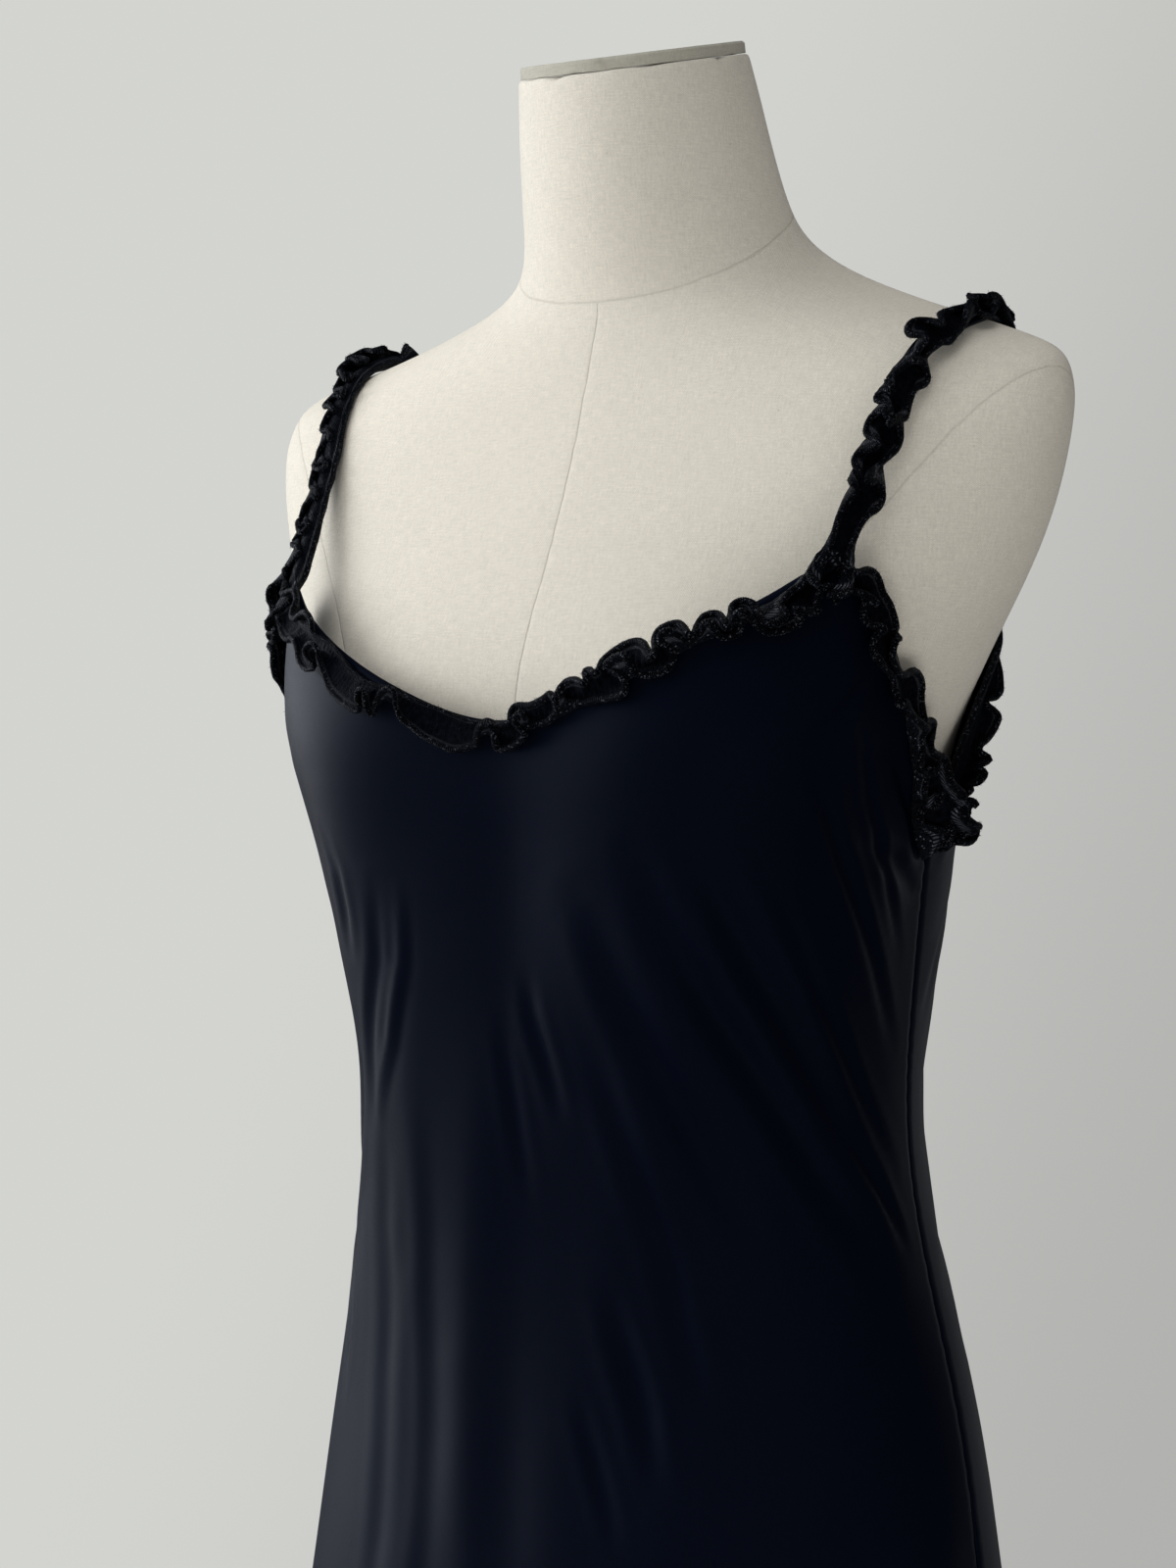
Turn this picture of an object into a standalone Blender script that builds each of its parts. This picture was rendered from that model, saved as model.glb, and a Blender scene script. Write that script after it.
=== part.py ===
"""Slip dress with ruffled trims on a limbless dress form and its stand.

Metres, +Z up.  The front faces -Y and the wearer's left is +X.  The origin is
on the floor, in the middle of the stand's base.  Tables are in millimetres.
"""

import math

import bpy
from mathutils import Vector
from mathutils.bvhtree import BVHTree

MM = 0.001

# ---- driving sizes, in millimetres -------------------------------------------
SEAM_GAP = 0.3            # between neighbouring pieces
SEAM_TRIM = 0.27          # taken off a panel at its side seam
CLOTH = 1.6               # thickness of the dress cloth
CLOTH_EASE = 4.0          # least distance from the form to the cloth's outer face
CLOTH_SOFT = 2.0          # how softly the cloth leaves the form where it lies on it
HEM_Z = 440.0
SEAM_Y = 4.0              # the side seams lie this far behind the middle

FORM_SIDES = 32
FORM_STEPS = 2            # lofted rings between two rows of the form's table
NECK_SLANT = 0.24         # rise of the neck's top for each millimetre to the back
CAP_THICK = 5.8
CAP_INSET = 1.2

POLE_RADIUS = 15.0
BASE_RADIUS = 200.0
BASE_THICK = 12.0
BASE_EDGE = 4.0           # bevel round the plate's rim
HUB_RADIUS = 30.0
HUB_TOP = 62.0
HUB_BEVEL = 6.0
HUB_FLARE = 24.0          # how far the hub's foot spreads over the plate

STRAP_WIDTH = 9.0
STRAP_THICK = 1.6
STRAP_LIFT = 0.6          # above the panel's edge that it is sewn to
STRAP_REST = 1.2          # over the form's shoulder
STRAP_STEP = 9.0          # length of one piece of a strap between two sections
STRAP_PROBES = 80         # places where the route over the shoulder is felt for

RUFFLE_THICK = 2.0
RUFFLE_REST = 0.6         # from a ruffle's stitching to what carries it
RUFFLE_SAMPLES = 8        # steps along one wave
FLAP_UP = dict(mean=45.0, swing=32.0, lag=0.0)    # degrees a ruffle's upper half stands off
FLAP_DOWN = dict(mean=54.0, swing=28.0, lag=2.3)  # its lower half, waving later by lag radians
FLAP_CLEAR = 1.0          # least gap from its edge to the cloth
EDGE_SWAY = 1.5           # how far its edge wanders along the seam
UNEVEN = 0.12             # share by which one wave is taller than the next
UNEVEN_TURN = 0.37        # and how soon that comes round again, in waves
ENDING_WAVES = 0.8        # a ruffle grows to its full width over this many waves
ENDING_WIDTH = 0.55       # share of its width at its ends
EDGE_STEPS = 160          # places felt for along a panel's edge

# The form, from its lower edge to the neck: one row for each section, which runs
# round the body and may be higher at the side than in front.
FORM_RINGS = [
    # half width, side y, side z, front y, front z, back y, back z, squareness
    dict(half=152, side_y=4, side_z=735, front=-85, front_z=735, back=104, back_z=735, square=2.1),
    dict(half=156, side_y=4, side_z=830, front=-86, front_z=830, back=113, back_z=830, square=2.1),
    dict(half=150, side_y=4, side_z=900, front=-81, front_z=900, back=112, back_z=900, square=2.1),
    dict(half=135, side_y=4, side_z=960, front=-79, front_z=960, back=99, back_z=960, square=2.0),
    dict(half=121, side_y=4, side_z=1029, front=-81, front_z=1029, back=85, back_z=1029, square=2.0),
    dict(half=122, side_y=4, side_z=1070, front=-86, front_z=1070, back=88, back_z=1070, square=2.0),
    dict(half=126, side_y=4, side_z=1110, front=-92, front_z=1110, back=96, back_z=1110, square=2.1),
    dict(half=130, side_y=5, side_z=1155, front=-100, front_z=1155, back=103, back_z=1155, square=2.2),
    dict(half=138, side_y=7, side_z=1200, front=-106, front_z=1195, back=107, back_z=1205, square=2.3),
    dict(half=161, side_y=10, side_z=1245, front=-102, front_z=1230, back=109, back_z=1252, square=2.1),
    dict(half=188, side_y=13, side_z=1296, front=-85, front_z=1270, back=108, back_z=1302, square=2.0),
    dict(half=200, side_y=15, side_z=1345, front=-67, front_z=1308, back=100, back_z=1350, square=1.9),
    dict(half=194, side_y=19, side_z=1366, front=-56, front_z=1336, back=91, back_z=1374, square=1.9),
    dict(half=174, side_y=24, side_z=1375, front=-49, front_z=1356, back=83, back_z=1392, square=1.9),
    dict(half=138, side_y=27, side_z=1386, front=-44, front_z=1371, back=76, back_z=1407, square=1.9),
    dict(half=100, side_y=27, side_z=1400, front=-40, front_z=1384, back=70, back_z=1421, square=1.9),
    dict(half=75, side_y=25, side_z=1414, front=-39, front_z=1394, back=66, back_z=1433, square=2.0),
    dict(half=63, side_y=20, side_z=1431, front=-43, front_z=1408, back=60, back_z=1445, square=2.0),
    dict(half=58, side_y=10, side_z=1457, front=-51, front_z=1436, back=54, back_z=1466, square=2.0),
    dict(half=54, side_y=0, side_z=1484, front=-57, front_z=1468, back=49, back_z=1494, square=2.0),
    dict(half=51, side_y=-7, side_z=1502, front=-59, front_z=1490, back=44, back_z=1514, square=2.0),
]
FORM_BUST = dict(x=86.0, z=1196.0, out=22.0, wide=36.0, above=42.0, below=46.0)

# The dress, by height: sections round a middle that lies SEAM_Y behind the origin.
DRESS_RINGS = [
    dict(z=440, half=208, front=-166, back=168, square_front=2.0, square_back=2.0),
    dict(z=560, half=198, front=-146, back=156, square_front=2.0, square_back=2.0),
    dict(z=700, half=184, front=-121, back=139, square_front=2.0, square_back=2.0),
    dict(z=800, half=171, front=-104, back=128, square_front=2.0, square_back=2.0),
    dict(z=858, half=161.5, front=-96, back=123, square_front=2.0, square_back=2.0),
    dict(z=900, half=155.5, front=-91, back=119, square_front=2.0, square_back=2.0),
    dict(z=942, half=146.5, front=-88, back=112, square_front=2.1, square_back=2.0),
    dict(z=966, half=141, front=-88, back=106, square_front=2.2, square_back=2.0),
    dict(z=995, half=134, front=-91, back=101, square_front=2.3, square_back=2.0),
    dict(z=1029, half=128.5, front=-97, back=98, square_front=2.4, square_back=2.0),
    dict(z=1064, half=128, front=-101, back=100, square_front=2.4, square_back=2.0),
    dict(z=1103, half=132, front=-104, back=106, square_front=2.5, square_back=2.2),
    dict(z=1153, half=137.5, front=-107, back=112, square_front=2.7, square_back=2.3),
    dict(z=1210, half=147, front=-113, back=113, square_front=3.0, square_back=2.2),
    dict(z=1250, half=154, front=-109, back=112, square_front=3.1, square_back=2.2),
    dict(z=1300, half=158, front=-101, back=110, square_front=3.1, square_back=2.2),
]
DRESS_BUST = dict(angle=56.0, z=1206.0, out=17.0, wide=19.0, above=40.0, below=85.0)

# Long soft folds of the skirt: place round the body (0 at the wearer's left seam,
# -90 in front), how wide, how deep at the hem, and where they fade out above.
SKIRT_FOLDS = [
    dict(angle=-128, wide=11, deep=14, top=1080),
    dict(angle=-104, wide=10, deep=-10, top=900),
    dict(angle=-76, wide=11, deep=12, top=860),
    dict(angle=-47, wide=10, deep=-11, top=900),
    dict(angle=-22, wide=9, deep=10, top=860),
    dict(angle=18, wide=9, deep=-10, top=850),
    dict(angle=45, wide=11, deep=13, top=900),
    dict(angle=74, wide=10, deep=-11, top=880),
    dict(angle=105, wide=11, deep=13, top=900),
    dict(angle=134, wide=10, deep=-11, top=880),
    dict(angle=160, wide=9, deep=10, top=850),
    dict(angle=-157, wide=9, deep=-10, top=850),
]

# Upper edges of the panels: degrees from the side seam towards the middle of the
# panel, and height.  Both straps leave from the highest stretch.
FRONT_EDGE = [
    dict(angle=0, z=1153), dict(angle=5, z=1170), dict(angle=12, z=1204),
    dict(angle=19, z=1238), dict(angle=24, z=1259), dict(angle=29, z=1273),
    dict(angle=34, z=1273), dict(angle=39, z=1264), dict(angle=46, z=1254),
    dict(angle=56, z=1241), dict(angle=70, z=1224), dict(angle=81, z=1213),
    dict(angle=90, z=1210),
]
BACK_EDGE = [
    dict(angle=0, z=1153), dict(angle=5, z=1176), dict(angle=12, z=1210),
    dict(angle=20, z=1245), dict(angle=27.5, z=1270), dict(angle=32.5, z=1270),
    dict(angle=40, z=1256), dict(angle=52, z=1244), dict(angle=70, z=1236), dict(angle=90, z=1233),
]

# Straps and ruffles; a ruffle's start and end are degrees round the panel's edge.
STRAP_FOOT = dict(front=31.5, back=30.0)  # degrees from the side seam
STRAP_BULGE = dict(left=18.0, right=26.0)  # how far each strap bows out over its shoulder
RUFFLES = [
    dict(name="neckline_ruffle_front", edge="front", start=35.5, end=144.5, half=11.0, waves=13, crowd=0.46),
    dict(name="neckline_ruffle_back", edge="back", start=35.0, end=145.0, half=11.0, waves=11, crowd=0.0),
    dict(name="armhole_ruffle_front", edge="front", start=1.5, end=27.0, half=7.0, waves=7, crowd=0.0),
    dict(name="armhole_ruffle_back", edge="back", start=1.5, end=25.5, half=5.4, waves=6, crowd=0.0),
]
STRAP_RUFFLE = dict(half=6.0, waves=12, trim=0.05)  # trim: share of the strap left bare at each end
RUFFLE_SEAM_DROP = 5.0                    # the ruffle's stitching below the cloth's edge

# Sections of a panel: heights up to the underarm, how many rise from there to the
# upper edge, and degrees from the side seam to the middle of the panel.
LOW_ROWS = [440, 480, 530, 580, 630, 680, 730, 780, 830, 870, 910, 950, 990, 1029, 1064, 1100, 1138]
HIGH_ROWS = 6
FRONT_COLUMNS = [4.0, 8.0, 12.0, 16.0, 20.0, 24.5, 29.0, 34.0, 39.0, 45.0, 51.0, 57.0, 64.0, 72.0, 81.0]
BACK_COLUMNS = [5.0, 10.0, 16.0, 22.0, 27.5, 32.5, 38.0, 44.0, 52.0, 61.0, 71.0, 81.0]


# ---- helpers ---------------------------------------------------------------
def between(rows, key, at, name):
    """Read one column of a table at a place between its rows, smoothly."""
    places = [row[key] for row in rows]
    values = [row[name] for row in rows]
    if at <= places[0]:
        return values[0]
    if at >= places[-1]:
        return values[-1]
    i = max(k for k in range(len(places) - 1) if places[k] <= at)
    span = places[i + 1] - places[i]
    t = (at - places[i]) / span

    def slope(k):
        if k == 0 or k == len(places) - 1:
            return 0.0
        left = (values[k] - values[k - 1]) / (places[k] - places[k - 1])
        right = (values[k + 1] - values[k]) / (places[k + 1] - places[k])
        if left * right <= 0:
            return 0.0
        return 2 * left * right / (left + right)

    a, b = slope(i) * span, slope(i + 1) * span
    rise = values[i + 1] - values[i]
    return values[i] + t * (a + t * (3 * rise - 2 * a - b + t * (a + b - 2 * rise)))


def bell(distance, width):
    return math.exp(-0.5 * (distance / width) ** 2)


def material(name, colour, roughness, metallic=0.0):
    made = bpy.data.materials.new(name)
    made.use_nodes = True
    shader = made.node_tree.nodes["Principled BSDF"]
    shader.inputs["Base Color"].default_value = (*colour, 1.0)
    shader.inputs["Roughness"].default_value = roughness
    shader.inputs["Metallic"].default_value = metallic
    made.diffuse_color = (*colour, 1.0)
    return made


def add_object(name, points, faces, look):
    """An object from points in millimetres."""
    mesh = bpy.data.meshes.new(name)
    mesh.from_pydata([tuple(c * MM for c in p) for p in points], [], faces)
    made = bpy.data.objects.new(name, mesh)
    COLLECTION.objects.link(made)
    mesh.materials.append(look)
    mesh.shade_smooth()
    mesh.set_sharp_from_angle(angle=math.radians(50))
    return made


def grid_faces(rows, columns):
    faces = []
    for r in range(rows - 1):
        for c in range(columns - 1):
            a = r * columns + c
            faces.append((a, a + 1, a + columns + 1, a + columns))
    return faces


def thicken(made, thickness, side):
    """Turn an open sheet into a wall; side -1 grows it inwards, 0 both ways."""
    solid = made.modifiers.new("Wall", "SOLIDIFY")
    solid.thickness = thickness * MM
    solid.offset = side


# ---- the form ----------------------------------------------------------------
def form_ring(row):
    """One closed section of the form, as points that run once round it."""
    points = []
    power = 2 / row["square"]
    for k in range(FORM_SIDES):
        turn = 2 * math.pi * k / FORM_SIDES
        c, s = math.cos(turn), math.sin(turn)
        deep = abs(s) ** power
        face, face_z = (row["back"], row["back_z"]) if s > 0 else (row["front"], row["front_z"])
        x = math.copysign(abs(c) ** power, c) * row["half"]
        y = row["side_y"] + (face - row["side_y"]) * deep
        z = row["side_z"] + (face_z - row["side_z"]) * deep
        if s < 0:
            rise = z - FORM_BUST["z"]
            tall = FORM_BUST["above"] if rise > 0 else FORM_BUST["below"]
            side = bell(abs(x) - FORM_BUST["x"], FORM_BUST["wide"])
            y -= FORM_BUST["out"] * side * bell(rise, tall)
        points.append((x, y, z))
    return points


def form_rows():
    """The form's table with smooth rows filled in between."""
    rows = []
    numbered = [dict(row, at=float(i)) for i, row in enumerate(FORM_RINGS)]
    for step in range((len(FORM_RINGS) - 1) * FORM_STEPS + 1):
        at = step / FORM_STEPS
        rows.append({name: between(numbered, "at", at, name) for name in FORM_RINGS[0]})
    return rows


def form_torso():
    points, faces = [], []
    rings = [form_ring(row) for row in form_rows()]
    middle = rings[-1]
    flat = sum(p[2] - NECK_SLANT * p[1] for p in middle) / FORM_SIDES
    rings[-1] = [(x, y, flat + NECK_SLANT * y) for x, y, z in middle]
    for ring in rings:
        points += ring
    for r in range(len(rings) - 1):
        for c in range(FORM_SIDES):
            a, b = r * FORM_SIDES + c, r * FORM_SIDES + (c + 1) % FORM_SIDES
            faces.append((a, b, b + FORM_SIDES, a + FORM_SIDES))
    faces.append(tuple(reversed(range(FORM_SIDES))))
    top = (len(rings) - 1) * FORM_SIDES
    faces.append(tuple(top + c for c in range(FORM_SIDES)))
    add_object("form_torso", points, faces, LINEN)
    return rings


def neck_cap(neck):
    """A slanted disc that closes the neck, a little narrower than it."""
    centre = Vector([sum(p[k] for p in neck) / FORM_SIDES for k in range(3)])
    normal = Vector((0, -NECK_SLANT, 1)).normalized()
    points = []
    for height in (SEAM_GAP, CAP_THICK - 1.0, CAP_THICK):
        pull = CAP_INSET + (1.0 if height == CAP_THICK else 0.0)
        for p in neck:
            out = Vector(p) - centre
            points.append(Vector(p) - out.normalized() * pull + normal * height)
    faces = [tuple(reversed(range(FORM_SIDES)))]
    for r in range(2):
        for c in range(FORM_SIDES):
            a, b = r * FORM_SIDES + c, r * FORM_SIDES + (c + 1) % FORM_SIDES
            faces.append((a, b, b + FORM_SIDES, a + FORM_SIDES))
    faces.append(tuple(2 * FORM_SIDES + c for c in range(FORM_SIDES)))
    add_object("form_neck_cap", points, faces, LINEN)


def stand():
    top = FORM_RINGS[0]["side_z"] - SEAM_GAP
    bottom = HUB_TOP + SEAM_GAP
    bpy.ops.mesh.primitive_cylinder_add(
        vertices=24, radius=POLE_RADIUS * MM, depth=(top - bottom) * MM,
        location=(0, 0, (top + bottom) / 2 * MM),
    )
    pole = bpy.context.object
    pole.name = "stand_pole"
    pole.data.materials.append(STEEL)
    for home in list(pole.users_collection):
        home.objects.unlink(pole)
    COLLECTION.objects.link(pole)

    profile = [
        (0, HUB_TOP), (HUB_RADIUS - HUB_BEVEL, HUB_TOP), (HUB_RADIUS, HUB_TOP - HUB_BEVEL),
        (HUB_RADIUS + HUB_FLARE * 0.25, BASE_THICK + HUB_FLARE * 0.65),
        (HUB_RADIUS + HUB_FLARE, BASE_THICK + HUB_FLARE * 0.15),
        (BASE_RADIUS - BASE_EDGE, BASE_THICK), (BASE_RADIUS, BASE_THICK - BASE_EDGE),
        (BASE_RADIUS, 0), (0, 0),
    ]
    mesh = bpy.data.meshes.new("stand_base")
    edges = [(k, k + 1) for k in range(len(profile) - 1)]
    mesh.from_pydata([(x * MM, 0, z * MM) for x, z in profile], edges, [])
    base = bpy.data.objects.new("stand_base", mesh)
    COLLECTION.objects.link(base)
    mesh.materials.append(IRON)
    turn = base.modifiers.new("Turn", "SCREW")
    turn.steps = turn.render_steps = 40
    turn.use_merge_vertices = True
    turn.merge_threshold = 0.0001


# ---- the dress -----------------------------------------------------------------
def form_reach(angle, z):
    """Distance from the sections' middle line to the form's face, or 0 above it."""
    away = Vector((math.cos(angle), math.sin(angle), 0))
    hit = FORM_TREE.ray_cast(Vector((0, SEAM_Y, z)), away)
    return hit[3] if hit[0] is not None else 0.0


def dress_reach(angle, z):
    """Distance from the middle line to the cloth's outer face."""
    ring = {name: between(DRESS_RINGS, "z", z, name) for name in DRESS_RINGS[0]}
    c, s = abs(math.cos(angle)), abs(math.sin(angle))
    if math.sin(angle) < 0:
        deep, square = SEAM_Y - ring["front"], ring["square_front"]
    else:
        deep, square = ring["back"] - SEAM_Y, ring["square_back"]
    reach = ((c / ring["half"]) ** square + (s / deep) ** square) ** (-1 / square)
    if math.sin(angle) < 0:
        aside = math.degrees(math.acos(c)) - DRESS_BUST["angle"]
        rise = z - DRESS_BUST["z"]
        tall = DRESS_BUST["above"] if rise > 0 else DRESS_BUST["below"]
        reach += DRESS_BUST["out"] * bell(aside, DRESS_BUST["wide"]) * bell(rise, tall)
    for fold in SKIRT_FOLDS:
        if z < fold["top"]:
            away = (math.degrees(angle) - fold["angle"] + 180) % 360 - 180
            grown = (fold["top"] - z) / (fold["top"] - HEM_Z)
            reach += fold["deep"] * grown ** 1.5 * bell(away, fold["wide"])
    least = form_reach(angle, z) + CLOTH_EASE
    blend = CLOTH_SOFT * math.log1p(math.exp(-abs(reach - least) / CLOTH_SOFT))
    return max(reach, least) + blend


def dress_point(angle, z):
    reach = dress_reach(angle, z)
    return Vector((reach * math.cos(angle), SEAM_Y + reach * math.sin(angle), z))


def dress_out(angle, z):
    """The direction square to the cloth, away from the body."""
    turn = 0.02
    round_it = dress_point(angle + turn, z) - dress_point(angle - turn, z)
    up_it = dress_point(angle, z + 3) - dress_point(angle, z - 3)
    return round_it.cross(up_it).normalized()


def edge_height(side, angle):
    """Height of the upper edge; side is front or back."""
    table = FRONT_EDGE if side == "front" else BACK_EDGE
    away = math.degrees(abs(math.atan2(math.sin(angle), math.cos(angle))))
    return between(table, "angle", min(away, 180 - away), "z")


def dress_panel(name, side, degrees):
    """One panel as a grid of points from its hem to its upper edge."""
    sign = -1 if side == "front" else 1
    half = [0.0] + degrees + [90.0]
    turns = half + [180 - d for d in reversed(half[:-1])]
    columns = [math.radians(sign * d) for d in (turns if sign > 0 else reversed(turns))]
    last = len(columns) - 1
    levels = LOW_ROWS + [None] * HIGH_ROWS
    points = []
    for i, level in enumerate(levels):
        for k, angle in enumerate(columns):
            top = edge_height(side, angle)
            if level is None:
                share = (i - len(LOW_ROWS) + 1) / HIGH_ROWS
                z = LOW_ROWS[-1] + (top - LOW_ROWS[-1]) * share
            else:
                z = level
            trim = {0: SEAM_TRIM, last: -SEAM_TRIM}.get(k, 0.0) / dress_reach(angle, z)
            points.append(dress_point(angle + trim, z))
    made = add_object(name, points, grid_faces(len(levels), len(columns)), CLOTH_LOOK)
    thicken(made, CLOTH, -1)


# ---- straps and ruffles ----------------------------------------------------------
def panel_angle(panel, side, degrees):
    """Place round the body, from degrees off the side seam on side 1 (left) or -1."""
    sign = -1 if panel == "front" else 1
    return math.radians(sign * (degrees if side > 0 else 180 - degrees))


def evenly(points, spacing):
    """Points at even steps along a chain of points."""
    steps = [(b - a).length for a, b in zip(points, points[1:])]
    count = max(2, round(sum(steps) / spacing))
    even = []
    for k in range(count + 1):
        left = sum(steps) * k / count
        i = 0
        while i < len(steps) - 1 and left > steps[i]:
            left -= steps[i]
            i += 1
        even.append(points[i].lerp(points[i + 1], min(1.0, left / steps[i])))
    return even


def off_the_form(point, out, across):
    """A strap's point, moved out until the strap's whole width clears the form."""
    need = STRAP_THICK / 2 + STRAP_REST
    short = 0.0
    for step in (-1.0, -0.5, 0.0, 0.5, 1.0):
        probe = point + across * STRAP_WIDTH / 2 * step
        place, normal, _, _ = FORM_TREE.find_nearest(probe)
        short = max(short, need - (probe - place).dot(normal))
    return point + out * short


def strap_route(side):
    """Frames along a taut strap on the wearer's left (side 1) or right (side -1)."""
    feet, outs = [], []
    bulge = STRAP_BULGE["left" if side > 0 else "right"]
    for panel in ("front", "back"):
        angle = panel_angle(panel, side, STRAP_FOOT[panel])
        top = edge_height(panel, angle)
        outs.append(dress_out(angle, top))
        feet.append(dress_point(angle, top) + Vector((0, 0, STRAP_LIFT)))
    front, back = feet
    ground = [front]
    for k in range(1, STRAP_PROBES):
        share = k / STRAP_PROBES
        plan = front.lerp(back, share)
        plan.x += side * bulge * 6.75 * share ** 2 * (1 - share)
        hit = FORM_TREE.ray_cast(Vector((plan.x, plan.y, 1600)), Vector((0, 0, -1)))
        if hit[0] is not None:
            ground.append(Vector((plan.x, plan.y, hit[0].z + STRAP_THICK + STRAP_REST)))
    ground.append(back)
    taut = [front]
    while taut[-1] != back:
        here = taut[-1]
        ahead = ground[ground.index(here) + 1:]
        taut.append(max(ahead, key=lambda p: (p.z - here.z) / (p.xy - here.xy).length))
    route = evenly(taut, STRAP_STEP)
    last = len(route) - 1
    crown = Vector((side * 0.25, 0.0, 1.0)).normalized()
    frames = []
    for k, point in enumerate(route):
        share = k / last
        along = (route[min(k + 1, last)] - route[max(k - 1, 0)]).normalized()
        facing = outs[0] * (1 - share) ** 2 + crown * 3 * share * (1 - share) + outs[1] * share ** 2
        across = (facing.cross(along) * side).normalized()
        out = (across.cross(along) * -side).normalized()
        frames.append((off_the_form(point, out, across), along, out, across))
    for k, out in ((0, outs[0]), (-1, outs[1])):
        level = Vector((-out.y, out.x, 0)).normalized()
        level = level if level.dot(frames[k][3]) > 0 else -level
        frames[k] = (frames[k][0], frames[k][1], out, level)
    return frames


def strap(name, frames):
    points = []
    for point, along, out, across in frames:
        points += [point - across * STRAP_WIDTH / 2, point + across * STRAP_WIDTH / 2]
    made = add_object(name, points, grid_faces(len(frames), 2), CLOTH_LOOK)
    thicken(made, STRAP_THICK, 0)
    return made


def off_the_cloth(point, clear):
    """A point moved straight out from the body until it clears the dress."""
    flat = Vector((point.x, point.y - SEAM_Y, 0))
    least = dress_reach(math.atan2(flat.y, flat.x), point.z) + clear
    if clear and flat.length > least:
        return point
    return Vector((0, SEAM_Y, point.z)) + flat.normalized() * least


def edge_frames(panel, side, start, end):
    """Frames along a panel's upper edge, on the line where its ruffle is sewn."""
    line = []
    for k in range(EDGE_STEPS + 1):
        angle = panel_angle(panel, side, start + (end - start) * k / EDGE_STEPS)
        top = edge_height(panel, angle)
        line.append((dress_point(angle, top), dress_out(angle, top - 2)))
    lengths = [0.0]
    for (a, _), (b, _) in zip(line, line[1:]):
        lengths.append(lengths[-1] + (b - a).length)

    def frame(share):
        at = share * lengths[-1]
        i = min(EDGE_STEPS - 1, max(k for k in range(EDGE_STEPS + 1) if lengths[k] <= at))
        part = (at - lengths[i]) / (lengths[i + 1] - lengths[i])
        point = line[i][0].lerp(line[i + 1][0], part)
        out = line[i][1].lerp(line[i + 1][1], part).normalized()
        near, far = line[max(i - 2, 0)][0], line[min(i + 3, EDGE_STEPS)][0]
        along = (far - near).normalized()
        across = out.cross(along)
        across = (across if across.z > 0 else -across).normalized()
        return off_the_cloth(point - across * RUFFLE_SEAM_DROP, 0.0), along, out, across

    return frame


def ruffle(name, frame, waves, half, crowd, lift, over_cloth):
    """A gathered strip sewn along its middle, with both free edges swinging out."""
    count = waves * RUFFLE_SAMPLES
    points = []
    for k in range(count + 1):
        share = k / count
        point, along, out, across = frame(share)
        phase = 2 * math.pi * waves * (share + crowd * share * (1 - share))
        ending = min(1.0, min(share, 1 - share) * waves / ENDING_WAVES)
        reach = half * (ENDING_WIDTH + (1 - ENDING_WIDTH) * ending)
        uneven = 1 + UNEVEN * math.sin(phase * UNEVEN_TURN + 1.0)
        seam = point + out * lift
        for way, flap in ((1, FLAP_UP), (-1, FLAP_DOWN)):
            swing = flap["swing"] * math.sin(phase + flap["lag"]) * uneven * ending
            open_by = math.radians(flap["mean"] + swing)
            tip = across * way * math.cos(open_by) + out * math.sin(open_by)
            sway = along * EDGE_SWAY * ending * math.sin(2 * phase + way)
            edge = seam + tip * reach + sway
            if way > 0:
                upper = edge
            elif over_cloth:
                edge = off_the_cloth(edge, RUFFLE_THICK / 2 + FLAP_CLEAR)
        points += [edge, seam, upper]
    made = add_object(name, points, grid_faces(count + 1, 3), VELVET)
    thicken(made, RUFFLE_THICK, 0)
    return made


def straps_and_ruffles():
    for side, word in ((1, "left"), (-1, "right")):
        frames = strap_route(side)
        strap(f"strap_{word}", frames)

        def on_strap(share, frames=frames):
            bare = STRAP_RUFFLE["trim"]
            at = (bare + (1 - 2 * bare) * share) * (len(frames) - 1)
            i = min(int(at), len(frames) - 2)
            point, along, out, across = (
                a.lerp(b, at - i) for a, b in zip(frames[i], frames[i + 1])
            )
            return point, along.normalized(), out.normalized(), across.normalized()

        lift = STRAP_THICK / 2 + RUFFLE_REST + RUFFLE_THICK / 2
        waves, half = STRAP_RUFFLE["waves"], STRAP_RUFFLE["half"]
        ruffle(f"strap_ruffle_{word}", on_strap, waves, half, 0.0, lift, False)
    on_cloth = RUFFLE_REST + RUFFLE_THICK / 2
    for row in RUFFLES:
        sides = ((1, ""),) if row["name"].startswith("neck") else ((1, "_left"), (-1, "_right"))
        for side, word in sides:
            frame = edge_frames(row["edge"], side, row["start"], row["end"])
            name = row["name"] + word
            ruffle(name, frame, row["waves"], row["half"], row["crowd"], on_cloth, True)


# ---- build ---------------------------------------------------------------------
for old in list(bpy.data.objects):
    bpy.data.objects.remove(old, do_unlink=True)
COLLECTION = bpy.data.collections.new("slip_dress_on_form")
bpy.context.scene.collection.children.link(COLLECTION)

LINEN = material("linen", (0.70, 0.66, 0.58), 0.9)
STEEL = material("steel_tube", (0.03, 0.03, 0.03), 0.35, 0.6)
IRON = material("painted_iron", (0.02, 0.02, 0.022), 0.5)
CLOTH_LOOK = material("black_jersey", (0.008, 0.009, 0.016), 0.55)
VELVET = material("black_velvet", (0.006, 0.006, 0.010), 0.8)

RINGS = form_torso()
neck_cap(RINGS[-1])
stand()
torso = bpy.data.objects["form_torso"].data
FORM_TREE = BVHTree.FromPolygons(
    [v.co / MM for v in torso.vertices], [tuple(p.vertices) for p in torso.polygons]
)
dress_panel("dress_front", "front", FRONT_COLUMNS)
dress_panel("dress_back", "back", BACK_COLUMNS)
straps_and_ruffles()
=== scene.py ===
import math

import bmesh
import bpy
import numpy as np
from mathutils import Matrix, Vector
from mathutils.bvhtree import BVHTree


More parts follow.
